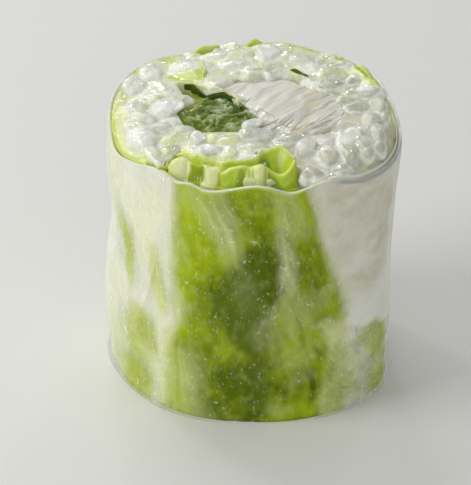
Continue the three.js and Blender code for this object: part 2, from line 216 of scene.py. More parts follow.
def spline(knots: Sequence[Pair], closed: bool, count: int) -> tuple[Array, Array]:
    """Evenly spaced points on a smooth curve through a few knots.

    Args:
        knots: The points to pass through.
        closed: Whether the last joins the first.
        count: How many points to return.

    Returns:
        The points and the unit directions along the curve, a row each.
    """
    fixed = np.array(knots, float)
    if closed:
        around = np.vstack([fixed[-1:], fixed, fixed[:2]])
    else:
        around = np.vstack([2 * fixed[0] - fixed[1], fixed, 2 * fixed[-1] - fixed[-2]])
    share = np.linspace(0, 1, 40, endpoint=False)[:, None]
    parts = []
    for a, b, c, d in zip(around, around[1:], around[2:], around[3:]):
        before, here, after = (max(np.linalg.norm(q - p), 1e-9) ** 0.5 for p, q in ((a, b), (b, c), (c, d)))
        start = ((b - a) / before - (c - a) / (before + here) + (c - b) / here) * here
        end = ((c - b) / here - (d - b) / (here + after) + (d - c) / after) * here
        bend = (-3 * b + 3 * c - 2 * start - end) * share**2
        parts.append(b + start * share + bend + (2 * b - 2 * c + start + end) * share**3)
    fine = np.vstack([*parts, around[-2:-1]])
    length = np.concatenate([[0], np.cumsum(np.linalg.norm(np.diff(fine, axis=0), axis=1))])
    wanted = np.linspace(0, length[-1], count, endpoint=not closed)
    places = np.stack([np.interp(wanted, length, part) for part in fine.T], axis=1)
    if closed:
        along = np.roll(places, -1, axis=0) - np.roll(places, 1, axis=0)
    else:
        along = np.gradient(places, axis=0)
    return places, along / np.linalg.norm(along, axis=1, keepdims=True)


def inside(ring: Array, x: float, y: float) -> bool:
    """Whether a place lies inside a closed ring.

    Args:
        ring: Its corners, (count, 2).
        x: First coordinate of the place.
        y: Second coordinate.

    Returns:
        True inside.
    """
    a, b = ring, np.roll(ring, 1, axis=0)
    crossing = (b[:, 0] - a[:, 0]) * (y - a[:, 1]) / (b[:, 1] - a[:, 1] + 1e-12) + a[:, 0]
    return bool(np.sum(((a[:, 1] > y) != (b[:, 1] > y)) & (x < crossing)) % 2)


# The pressed roll's form


@dataclass(frozen=True)
class Bulge:
    """A soft bulge (out above 0) or dent in the side of the roll."""

    at: float
    height: float
    wide: float
    tall: float
    out: float


@dataclass(frozen=True)
class RollShape:
    """Form of the roll that every layer follows, as its solids have it."""

    radius: float = 24.8
    height: float = 46.0
    lean: float = 1.2
    # Sides, swell and direction of each wave round the roll.
    lobes: tuple[Place, ...] = ((2, 0.48, -54), (3, 0.5, -52), (4, 0.39, -31))
    bulges: tuple[Bulge, ...] = tuple(Bulge(*row) for row in table("""
        180 40 26 8 0.5, 178 28 24 5 -0.5, 180 14 26 7 0.6, -155 1 24 6 -0.4, -4 43 24 5 0.6,
        0 23 24 7 -0.4, -22 2 20 6 0.4, 100 18 30 10 0.4
        """))
    # Direction and height of the knots of the paper's cut edge.
    cut_edge: tuple[Pair, ...] = table("""
        -180 45.9, -166 43.1, -149 44, -134 45.4, -123 44.6, -117 44.9, -109 44.2, -92 45.8, -85 45.6,
        -76 44.5, -63 45.8, -45 44.2, -15 44.1, 10 46.6, 32 48, 60 47.5, 84 48.1, 108 47.2, 138 48.3,
        160 47.6
        """)
    middle: Pair = (0.0, 0.0)

    def set_on(self, low: Vector, high: Vector) -> "RollShape":
        """The same form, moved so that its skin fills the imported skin's box.

        Args:
            low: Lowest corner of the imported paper, in metres.
            high: Its highest corner.

        Returns:
            The form with its middle where the solids have it.
        """
        angle, share = np.meshgrid(np.arange(-180, 180, 5.625), np.linspace(0, 1, 8))
        skin = self.point(angle, 0.0, share * self.rim(angle)).reshape(-1, 3)
        wanted = (np.array(low) + np.array(high)) / (2 * MM)
        found = (skin.min(0) + skin.max(0)) / 2
        return RollShape(middle=(wanted[0] - found[0], wanted[1] - found[1]))

    def rim(self, angle: Array) -> Array:
        """Height of the paper's cut edge.

        Args:
            angle: Directions.

        Returns:
            A height for each.
        """
        at, height = np.array(self.cut_edge).T
        turned = (np.asarray(angle, float) + 180) % 360 - 180
        last = np.searchsorted(at, turned, side="right") - 1
        turns, picked = zip(*(np.divmod(last + step, len(at)) for step in (-1, 0, 1, 2)))
        at_0, at_1, at_2, at_3 = (at[index] + 360 * turn for turn, index in zip(turns, picked))
        z_0, z_1, z_2, z_3 = (height[index] for index in picked)
        span = at_2 - at_1
        rises = (z_2 - z_0) / (at_2 - at_0) * span, (z_3 - z_1) / (at_3 - at_1) * span
        return hermite((turned - at_1) / span, z_1, rises[0], z_2, rises[1])

    def skin_radius(self, angle: Array, z: Array) -> Array:
        """Radius of the outer skin.

        Args:
            angle: Directions.
            z: Heights.

        Returns:
            A radius for each.
        """
        radius = self.radius + 0 * angle * z
        for sides, swell, at in self.lobes:
            radius = radius + swell * np.cos(sides * np.radians(angle - at))
        for bulge in self.bulges:
            across = turn_between(bulge.at, angle) / bulge.wide
            along = (z - bulge.height) / bulge.tall
            radius = radius + bulge.out * np.exp(-across * across - along * along)
        return radius

    def point(self, angle: Array, depth: Array | float, z: Array) -> Array:
        """Points inside the outer skin.

        Args:
            angle: Directions.
            depth: Depths behind the skin.
            z: Heights.

        Returns:
            The points, (..., 3).
        """
        radius = self.skin_radius(angle, z) - depth
        axis_x = self.lean * (z / self.height - 0.5) + self.middle[0]
        x = axis_x + radius * np.cos(np.radians(angle))
        y = self.middle[1] + radius * np.sin(np.radians(angle))
        return np.stack(np.broadcast_arrays(x, y, z), axis=-1)

    def wall(self, angle: Array, z: Array) -> Array:
        """Places on a plain round wall, for noise that meets itself behind the roll."""
        x, y = self.radius * np.cos(np.radians(angle)), self.radius * np.sin(np.radians(angle))
        return np.stack(np.broadcast_arrays(x, y, z), axis=-1)

    def lift(self, flat: Array, z: Array) -> Array:
        """Points of a plan of the fillings, at given heights, in the frame."""
        x, y = flat[..., 0] + self.middle[0], flat[..., 1] + self.middle[1]
        return np.stack(np.broadcast_arrays(x, y, z), axis=-1)

    def rice_top(self, flat: Array) -> Array:
        """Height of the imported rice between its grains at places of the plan."""
        x, y = flat[..., 0], flat[..., 1]
        return 45.9 + 0.052 * y + 0.25 * np.sin(0.55 * x + 0.4) * np.cos(0.47 * y)


# Painting with strokes


@dataclass(frozen=True)
class Stroke:
    """A soft brush stroke through a few places, with a half width and a fading edge."""

    line: tuple[Pair, ...]
    width: float
    soft: float
    strength: float


def strokes(text: str) -> tuple[Stroke, ...]:
    """Strokes from lines of text: half width, fading edge and strength, a colon, then the places."""
    split = [line.split(":") for line in text.strip().splitlines()]
    return tuple(Stroke(table(line), *table(brush)[0]) for brush, line in split)


@dataclass(frozen=True)
class Patch:
    """A filled shape with a fading edge."""

    outline: tuple[Pair, ...]
    soft: float
    strength: float = 1.0


class Canvas:
    """A flat map of many places on which strokes and patches are painted."""

    def __init__(self, across: Array, up: Array, waver: float, cell: float, seed: int) -> None:
        """Keeps the places, moved a little by noise so that painted edges run unevenly.

        Args:
            across: First flat coordinate of each place.
            up: Second flat coordinate.
            waver: How far the noise moves a place.
            cell: Size of the noise's cells.
            seed: Chooses the noise.
        """
        flat = np.stack([across, up, np.zeros_like(across)], axis=-1)
        self.x = across + waver * noise(flat, cell, seed, 4)
        self.y = up + waver * noise(flat, cell, seed + 5, 4)

    def _nearest(self, line: Sequence[Pair]) -> tuple[Array, Array]:
        """Looks up a line of straight pieces.

        Args:
            line: Its corners.

        Returns:
            Distance from each place to the line, and the share of the line there.
        """
        best = np.full(self.x.shape, 1e9)
        reached = np.zeros(self.x.shape)
        for piece, ((x_1, y_1), (x_2, y_2)) in enumerate(zip(line, line[1:])):
            along_x, along_y = x_2 - x_1, y_2 - y_1
            size = max(along_x**2 + along_y**2, 1e-9)
            share = np.clip(((self.x - x_1) * along_x + (self.y - y_1) * along_y) / size, 0, 1)
            away = np.hypot(self.x - x_1 - share * along_x, self.y - y_1 - share * along_y)
            reached = np.where(away < best, (piece + share) / (len(line) - 1), reached)
            best = np.minimum(best, away)
        return best, reached

    def stroke(self, stroke: Stroke) -> Array:
        """Paints one stroke, which thins out and fades towards its ends.

        Args:
            stroke: The stroke.

        Returns:
            Its strength at each place.
        """
        line = spline(stroke.line, False, 6 * len(stroke.line))[0]
        away, share = self._nearest([(x, y) for x, y in line])
        full = np.sin(np.pi * np.clip(share, 0.0, 1.0)) ** 0.6
        beyond = away - (stroke.width * full + 0.02)
        return stroke.strength * full * (1 - ease(beyond / stroke.soft, 0.0, 1.0))

    def patch(self, patch: Patch) -> Array:
        """Paints a filled shape.

        Args:
            patch: The shape.

        Returns:
            Its strength at each place, half at its outline.
        """
        within = np.zeros(self.x.shape, bool)
        loop = [*patch.outline, patch.outline[0]]
        for (x_1, y_1), (x_2, y_2) in zip(loop, loop[1:]):
            if y_1 != y_2:
                crossing = (x_2 - x_1) * (self.y - y_1) / (y_2 - y_1) + x_1
                within ^= ((y_1 > self.y) != (y_2 > self.y)) & (self.x < crossing)
        away = self._nearest(loop)[0]
        return patch.strength * (1 - ease(np.where(within, -away, away), -patch.soft, patch.soft))

    def strokes(self, strokes: Sequence[Stroke]) -> Array:
        """Several strokes laid over each other."""
        clear = (1 - np.clip(self.stroke(stroke), 0, 1) for stroke in strokes)
        return 1 - math.prod(clear, start=np.ones(self.x.shape))


class SideCanvas(Canvas):
    """A canvas over the side of the roll; strokes on it give direction and height."""

    def __init__(self, shape: RollShape, angle: Array, z: Array, waver: float, seed: int) -> None:
        """Unrolls the side.

        Args:
            shape: The roll's form.
            angle: Direction of each place.
            z: Height of each place.
            waver: How far noise moves a place.
            seed: Chooses the noise.
        """
        self.per_degree = math.radians(shape.radius)
        super().__init__(turn_between(-90, angle) * self.per_degree, z, waver, 4.0, seed)

    def _unrolled(self, line: tuple[Pair, ...]) -> tuple[Pair, ...]:
        """Places of a line across the unrolled side."""
        return tuple(((angle + 90) * self.per_degree, z) for angle, z in line)

    def stroke(self, stroke: Stroke) -> Array:
        """Strength of one stroke at each place."""
        return super().stroke(replace(stroke, line=self._unrolled(stroke.line)))

    def patch(self, patch: Patch) -> Array:
        """Strength of a filled shape at each place."""
        return super().patch(replace(patch, outline=self._unrolled(patch.outline)))


# Meshes


def grid_faces(rows: int, columns: int, wrap_rows: bool, wrap_columns: bool) -> Array:
    """Quads over a grid of points, rows upwards and columns counter-clockwise.

    Args:
        rows: Rows of points.
        columns: Columns of points.
        wrap_rows: Whether the last row joins the first.
        wrap_columns: Whether the last column joins the first.

    Returns:
        Four corners for each quad.
    """
    counts = rows - (not wrap_rows), columns - (not wrap_columns)
    row, column = np.meshgrid(*(np.arange(count) for count in counts), indexing="ij")
    above, beside = (row + 1) % rows, (column + 1) % columns
    corners = (row, column), (row, beside), (above, beside), (above, column)
    return np.stack([up * columns + along for up, along in corners], axis=-1).reshape(-1, 4)


def set_values(mesh: bpy.types.Mesh, name: str, values: Array) -> None:
    """Stores a number or a vector for each point of a mesh.

    Args:
        mesh: The mesh.
        name: Name of the attribute.
        values: The values, (count,) or (count, 3).
    """
    kind, field = ("FLOAT", "value") if values.ndim == 1 else ("FLOAT_VECTOR", "vector")
    layer = mesh.attributes.new(name, kind, "POINT")
    layer.data.foreach_set(field, values.astype(np.float32).ravel())


def stand(name: str, data: bpy.types.ID | None) -> Piece:
    """Puts a new object with its data into the scene.

    Args:
        name: The object's name.
        data: Its mesh, camera or lamp.

    Returns:
        The object.
    """
    piece = bpy.data.objects.new(name, data)
    bpy.context.scene.collection.objects.link(piece)
    return piece


class Draft:
    """Points, faces and painted values of a piece before it becomes a mesh."""

    def __init__(self) -> None:
        """Starts empty."""
        self.points: list[Array] = []
        self.faces: list[list[int]] = []
        self.values: dict[str, list[Array]] = {}

    def add(self, points: Array, faces: Sequence[Sequence[int]], paint: Paint) -> None:
        """Adds one closed body.

        Args:
            points: Places in millimetres, any shape ending in 3.
            faces: Corners of each face, counted within this body.
            paint: Painted values, one for each point.
        """
        count = sum(len(part) for part in self.points)
        self.points.append(points.reshape(-1, 3))
        self.faces.extend([corner + count for corner in face] for face in faces)
        for name, value in paint.items():
            self.values.setdefault(name, []).append(np.broadcast_to(value, points.shape[:-1]).reshape(-1))

    def add_sheet(self, front: Array, back: Array, paint: Paint) -> None:
        """Adds a thin solid between two grids of points that face the same way.

        Args:
            front: Points of the face that looks outwards, rows upwards, columns counter-clockwise.
            back: Points of the other face, in the same order.
            paint: Painted values, the same on both faces.
        """
        rows, columns = front.shape[:2]
        count = rows * columns
        face = grid_faces(rows, columns, False, False)
        index = np.arange(count).reshape(rows, columns)
        loop = [*index[0], *index[1:, -1], *index[-1, -2::-1], *index[-2:0:-1, 0]]
        border = np.array([[b, a, a + count, b + count] for a, b in zip(loop, loop[1:] + loop[:1])])
        faces = np.vstack([face, face[:, ::-1] + count, border]).tolist()
        self.add(np.stack([front, back]), faces, paint)

    def add_column(self, rings: Array, paint: Paint) -> None:
        """Adds a body skinned over rings, from the middle of its foot round to the middle of its top.

        Args:
            rings: Points, (rings, columns, 3).
            paint: Painted values, one for each point.
        """
        rows, columns = rings.shape[:2]
        count = rows * columns
        faces = grid_faces(rows, columns, False, True).tolist()
        for column in range(columns):
            beside = (column + 1) % columns
            faces.append([count, beside, column])
            faces.append([count + 1, count - columns + column, count - columns + beside])
        full = {
            name: np.concatenate([value.reshape(-1), [value[0].mean(), value[-1].mean()]])
            for name, value in paint.items()
        }
        self.add(np.vstack([rings.reshape(-1, 3), rings[0].mean(0), rings[-1].mean(0)]), faces, full)

    def finish(self, name: str, material: Material) -> Piece:
        """Makes the object, in metres, with smooth faces and its painted values as attributes.

        Args:
            name: The object's name.
            material: Its finish.

        Returns:
            The object.
        """
        mesh = bpy.data.meshes.new(name)
        mesh.from_pydata((np.vstack(self.points) * MM).tolist(), [], self.faces)
        for key, parts in self.values.items():
            set_values(mesh, key, np.concatenate(parts))
        mesh.shade_smooth()
        mesh.materials.append(material)
        return stand(name, mesh)


def settle(piece: Piece) -> None:
    """Turns a piece's modifiers into its plain mesh.

    Args:
        piece: The piece.
    """
    evaluated = piece.evaluated_get(bpy.context.evaluated_depsgraph_get())
    mesh = bpy.data.meshes.new_from_object(evaluated)
    piece.modifiers.clear()
    piece.data = mesh


def dress(piece: Piece, slot: Slot, node: str) -> None:
    """Sets a piece on the body in place of its plain solid and reports it.

    Args:
        piece: The piece.
        slot: Its material slot.
        node: The solid's node.
    """
    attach(piece, "root")
    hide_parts(node)
    triangles = sum(len(face.vertices) - 2 for face in piece.data.polygons)
    log.info("%s: %d triangles, %s", piece.name, triangles, slot.value)


# Nodes written as sums


class Wire:
    """An output of a node; sums of wires and numbers add their Math nodes."""

    def __init__(self, nodes: "NodeWriter", socket: bpy.types.NodeSocket) -> None:
        """Keeps the output and the writer that adds nodes behind it."""
        self.nodes = nodes
        self.socket = socket

    def _math(self, operation: str, first: "Wire | float", second: "Wire | float") -> "Wire":
        """One Math node."""
        return self.nodes.add("ShaderNodeMath", {"operation": operation}, {0: first, 1: second})["Value"]

    def __add__(self, other: "Wire | float") -> "Wire":
        """Sum."""
        return self._math("ADD", self, other)

    __radd__ = __add__

    def __sub__(self, other: "Wire | float") -> "Wire":
        """Difference."""
        return self._math("SUBTRACT", self, other)

    def __rsub__(self, other: float) -> "Wire":
        """Reflected difference."""
        return self._math("SUBTRACT", other, self)

    def __mul__(self, other: "Wire | float") -> "Wire":
        """Product."""
        return self._math("MULTIPLY", self, other)

    __rmul__ = __mul__

    def __abs__(self) -> "Wire":
        """Its size without its sign."""
        return self._math("ABSOLUTE", self, 0.0)

    def at_least(self, other: "Wire | float") -> "Wire":
        """The larger of two."""
        return self._math("MAXIMUM", self, other)

    def at_most(self, other: "Wire | float") -> "Wire":
        """The smaller of two."""
        return self._math("MINIMUM", self, other)

    def held(self) -> "Wire":
        """Kept between 0 and 1."""
        return self.at_least(0.0).at_most(1.0)

    def eased(self, start: float, end: float) -> "Wire":
        """Rises smoothly; a start above the end turns it round.

        Args:
            start: Value at which the result is 0.
            end: Value at which it is 1.

        Returns:
            The result.
        """
        inputs = {"Value": self, "From Min": min(start, end), "From Max": max(start, end)}
        risen = self.nodes.add("ShaderNodeMapRange", {"interpolation_type": "SMOOTHSTEP"}, inputs)["Result"]
        return risen if start < end else 1 - risen


class Outputs:
    """The outputs of one node, by name or number."""

    def __init__(self, nodes: "NodeWriter", node: bpy.types.Node) -> None:
        """Keeps the node."""
        self.nodes = nodes
        self.node = node

    def __getitem__(self, key: str | int) -> Wire:
        """One output as a wire."""
        return Wire(self.nodes, self.node.outputs[key])


class NodeWriter:
    """Adds nodes to a tree and links them."""

    def __init__(self, tree: bpy.types.NodeTree) -> None:
        """Keeps the tree."""
        self.tree = tree

    def add(self, kind: str, settings: dict | None = None, inputs: dict | None = None) -> Outputs:
        """Adds one node.

        Args:
            kind: The node's type.
            settings: Its properties.
            inputs: Values or wires by the input's name or number.

        Returns:
            The node's outputs.
        """
        node = self.tree.nodes.new(kind)
        for name, value in (settings or {}).items():
            setattr(node, name, value)
        for key, value in (inputs or {}).items():
            if isinstance(value, Wire):
                self.tree.links.new(value.socket, node.inputs[key])
            else:
                node.inputs[key].default_value = value
        return Outputs(self, node)

    def first(self, kind: str, **inputs: object) -> Wire:
        """The first output of a new node without settings."""
        return self.add(kind, None, inputs)[0]

    def place(self, flat: float = 1.0) -> Wire:
        """Object coordinates, with upright lengths stretched where the factor is below 1."""
        here = self.add("ShaderNodeTexCoord")["Object"]
        return self.first("ShaderNodeMapping", Vector=here, Scale=(1, 1, flat))

    def noise(self, cell: float, detail: float = 2.0, flat: float = 1.0) -> Wire:
        """Noise between 0 and 1 with cells of a size in millimetres."""
        return self.first("ShaderNodeTexNoise", Vector=self.place(flat), Scale=1 / (cell * MM), Detail=detail)

    def painted(self, *names: str) -> list[Wire]:
        """Painted values of the piece."""
        return [self.add("ShaderNodeAttribute", {"attribute_name": name})["Fac"] for name in names]

    def blend(self, factor: Wire | float, first: Wire | Colour, second: Wire | Colour) -> Wire:
        """Mixes two colours."""
        return self.add("ShaderNodeMix", {"data_type": "RGBA"}, {0: factor, 6: first, 7: second})[2]

    def bump(self, height: Wire, deep: float) -> Wire:
        """A normal bent by a height of a depth in millimetres."""
        return self.first("ShaderNodeBump", Height=height, Distance=deep * MM, Strength=1.0)


def start_material(name: str) -> tuple[Material, NodeWriter]:
    """Makes an empty node material.

    Args:
        name: Its name.

    Returns:
        The material and its writer.
    """
    material = bpy.data.materials.new(name)
    material.use_nodes = True
    material.node_tree.nodes.clear()
    return material, NodeWriter(material.node_tree)


def end_material(nodes: NodeWriter, inputs: dict) -> None:
    """Gives a material its Principled surface with these inputs."""
    surface = nodes.add("ShaderNodeBsdfPrincipled", None, inputs)["BSDF"]
    nodes.add("ShaderNodeOutputMaterial", None, {"Surface": surface})


# Finishes


@dataclass(frozen=True)
class PaperFinish:
    """Wet rice paper: a clear film that is milky where it is wrinkled or doubled."""

    milk: Colour = colour(249, 250, 240)
    cream: Colour = colour(222, 216, 190)
    shade: Colour = colour(184, 186, 192)
    leaf: Colour = colour(214, 224, 120)
    most: float = 0.94

    def material(self) -> Material:
        """Makes the film with painted haze, fine grain, and white specks and short bright curls that are
        partly painted glints.

        Returns:
            The material.
        """
        material, nodes = start_material("rice_paper_film")
        haze, cream, shade, leaf = nodes.painted("haze", "cream", "shade", "leaf")
        grain = nodes.noise(0.7, 4, 0.75)
        cloud = nodes.noise(2.6, 5, 0.7)
        voronoi = nodes.add("ShaderNodeTexVoronoi", None, {"Vector": nodes.place(0.6), "Scale": 1350.0})
        picked = nodes.first("ShaderNodeSeparateColor", Color=voronoi["Color"])
        # White specks and short bright curls: partly small bubbles and marks in the film, partly painted
        # glints that stand in for its wet highlights.
        glint_speck = voronoi["Distance"].eased(0.24, 0.1) * picked.eased(0.3, 0.8)
        line = abs(nodes.noise(1.7, 0, 0.6) - 0.5).eased(0.02, 0.004)
        curl = line * nodes.noise(0.9, 1, 0.8).eased(0.56, 0.66)
        marks = (0.55 * glint_speck + 0.6 * curl) * (0.35 + 0.65 * cloud)
        wisps = haze * (1 + (1 - haze) * (0.7 * grain + 1.0 * cloud - 0.85))
        base = nodes.blend(cream, self.milk, self.cream)
        base = nodes.blend((leaf - marks).held(), base, self.leaf)
        end_material(nodes, {
            "Base Color": nodes.blend(shade, base, self.shade),
            "Roughness": 0.22 + 0.2 * grain,
            "Alpha": (wisps + marks).at_least(0.0).at_most(self.most),
            "Normal": nodes.bump(0.4 * grain + 0.8 * marks + 0.9 * cloud, 0.16),
            "IOR": 1.33,
            "Specular IOR Level": 0.16,
        })
        return material


@dataclass(frozen=True)
class LeafFinish:
    """Fresh leaf that glows where light comes through it, with a painted glow where one is set."""

    name: str
    fresh: Colour
    deep: Colour
    pale: Colour
    # Colour of cut edges, also given to the painted highlights along the frill's crests and the painted light
    # on the wrap's top edge.
    cut: Colour = colour(236, 240, 176)
    glow: float = 0.55
    coat: float = 0.3
    coat_roughness: float = 0.12
    gloss: float = 0.5
    # Strength of a painted glow: the leaf gives off its own colour as light.
    painted_glow: float = 0.0

    def material(self) -> Material:
        """Makes the leaf, coloured between its fresh, deep and pale tones by painted values.

        Returns:
            The material.
        """
        material, nodes = start_material(self.name)
        pale, deep, edge = nodes.painted("pale", "deep", "edge")
        mottle = nodes.noise(1.6, 4, 0.7)
        fine = nodes.noise(0.45, 3, 0.6)
        tone = nodes.blend((deep + 0.7 * (mottle - 0.5) + 0.3 * (fine - 0.5)).held(), self.fresh, self.deep)
        base = nodes.blend((pale * (0.75 + 0.5 * mottle)).held(), tone, self.pale)
        base = nodes.blend((edge * (0.7 + 0.4 * mottle)).held(), base, self.cut)
        end_material(nodes, {
            "Base Color": base,
            "Roughness": 0.32 + 0.2 * fine,
            "Normal": nodes.bump(mottle + 0.4 * fine, 0.2),
            "Subsurface Weight": self.glow,
            "Subsurface Radius": (0.8, 1.0, 0.3),
            "Subsurface Scale": 1.4 * MM,
            "Coat Weight": self.coat,
            "Coat Roughness": self.coat_roughness,
            "Specular IOR Level": self.gloss,
            # Painted glow: the leaf gives off a little of its own colour as light.
            "Emission Color": base,
            "Emission Strength": self.painted_glow,
            "IOR": 1.4,
        })
        return material


@dataclass(frozen=True)
class RiceFinish:
    """Cooked rice: translucent grains, chalky ones among them, tinted where leaf shows through."""

    clear: Colour = colour(168, 171, 148)
    # White of the chalky grains, also painted as bright outlines round the grains, standing in for light
    # caught at their edges.
    chalk: Colour = colour(242, 244, 238)
    warm: Colour = colour(226, 219, 190)
    pale_leaf: Colour = colour(230, 235, 178)
    leaf: Colour = colour(196, 212, 84)

    def material(self) -> Material:
        """Makes the soft, wet grain.

        Returns:
            The material.
        """
        material, nodes = start_material("cooked_rice")
        chalk, tint, warm = nodes.painted("chalk", "tint", "warm")
        cloud = nodes.noise(1.1, 4)
        fine = nodes.noise(0.25, 3)
        green = tint + 0.25 * (cloud - 0.5)
        body = nodes.blend(warm, self.clear, self.warm)
        body = nodes.blend(green.eased(0.05, 0.6), body, self.pale_leaf)
        body = nodes.blend(green.eased(0.6, 1.0), body, self.leaf)
        base = nodes.blend((chalk + 0.5 * (cloud - 0.5)).held(), body, self.chalk)
        end_material(nodes, {
            "Base Color": base,
            "Roughness": 0.22 + 0.2 * fine,
            "Normal": nodes.bump(cloud + 0.6 * fine, 0.3),
            "Subsurface Weight": 0.6,
            "Subsurface Radius": (1.0, 1.0, 0.85),
            "Subsurface Scale": 1.1 * MM,
            "IOR": 1.36,
            "Sheen Weight": 0.2,
            "Sheen Roughness": 0.3,
            "Coat Weight": 0.9,
            "Coat Roughness": 0.035,
            # A faint painted glow: the rice gives off its own colour as light, which lifts its shadows as
            # light carried through the grains would.
            "Emission Color": base,
            "Emission Strength": 0.09,
        })
        return material


@dataclass(frozen=True)
class FillingFinish:
    """Pale, fibrous flesh with painted warm shade in its tears."""

    flesh: Colour = colour(204, 201, 187)
    # Colour of the painted warm shade in the tears.
    warm: Colour = colour(206, 190, 128)
    light: Colour = colour(226, 224, 216)

    def material(self) -> Material:
        """Makes the flesh, coloured by its painted ridges and the painted warm shade in its tears.

        Returns:
            The material.
        """
        material, nodes = start_material("pale_flesh")
        tear, ridge = nodes.painted("tear", "ridge")
        fine = nodes.noise(0.4, 4)
        base = nodes.blend(ridge * (0.5 + 0.6 * fine), self.flesh, self.light)
        # Painted shade: the warm colour in the tears and grooves.
        base = nodes.blend((tear * (0.6 + 0.6 * fine)).at_most(1.0), base, self.warm)
        end_material(nodes, {
            "Base Color": base,
            "Roughness": 0.38 + 0.2 * fine,
            "Normal": nodes.bump(fine, 0.1),
            "Subsurface Weight": 0.5,
            "Subsurface Radius": (1.0, 0.95, 0.7),
            "Subsurface Scale": 1.2 * MM,
            "Coat Weight": 0.3,
            "Coat Roughness": 0.12,
            # A faint painted glow: the flesh gives off its own colour as light, which lifts its shadows.
            "Emission Color": base,
            "Emission Strength": 0.07,
        })
        return material


@dataclass(frozen=True)
class FloorFinish:
    """Plain pale studio floor, matt, with a barely visible tooth."""

    tone: Colour = colour(226, 226, 223)

    def material(self) -> Material:
        """Makes the floor's surface.

        Returns:
            The material.
        """
        material, nodes = start_material("studio_floor")
        base = nodes.blend(0.06 * nodes.noise(6.0, 3), self.tone, WHITE)
        end_material(nodes, {"Base Color": base, "Roughness": 0.7})
        return material


FRESH_LETTUCE = LeafFinish(
    "lettuce_leaf", colour(172, 192, 18), colour(92, 110, 6), colour(240, 244, 192), coat=0.0, gloss=0.12
)
# The frill gives off a faint painted glow.
FRILL_LETTUCE = LeafFinish(
    "lettuce_frill", colour(188, 208, 40), colour(118, 146, 14), colour(236, 240, 188), coat=0.35, painted_glow=0.05
)
DARK_HERB = LeafFinish(
    "herb_leaf", colour(62, 92, 12), colour(28, 52, 8), colour(120, 140, 64), colour(100, 122, 26),
    glow=0.25, coat=0.1, gloss=0.15,
)
WET_HERB = LeafFinish(
    "herb_bundle", colour(96, 120, 20), colour(28, 50, 6), colour(200, 208, 178), colour(158, 172, 36),
    glow=0.25, coat=0.6, gloss=0.25, coat_roughness=0.05,
)


# The paper skin


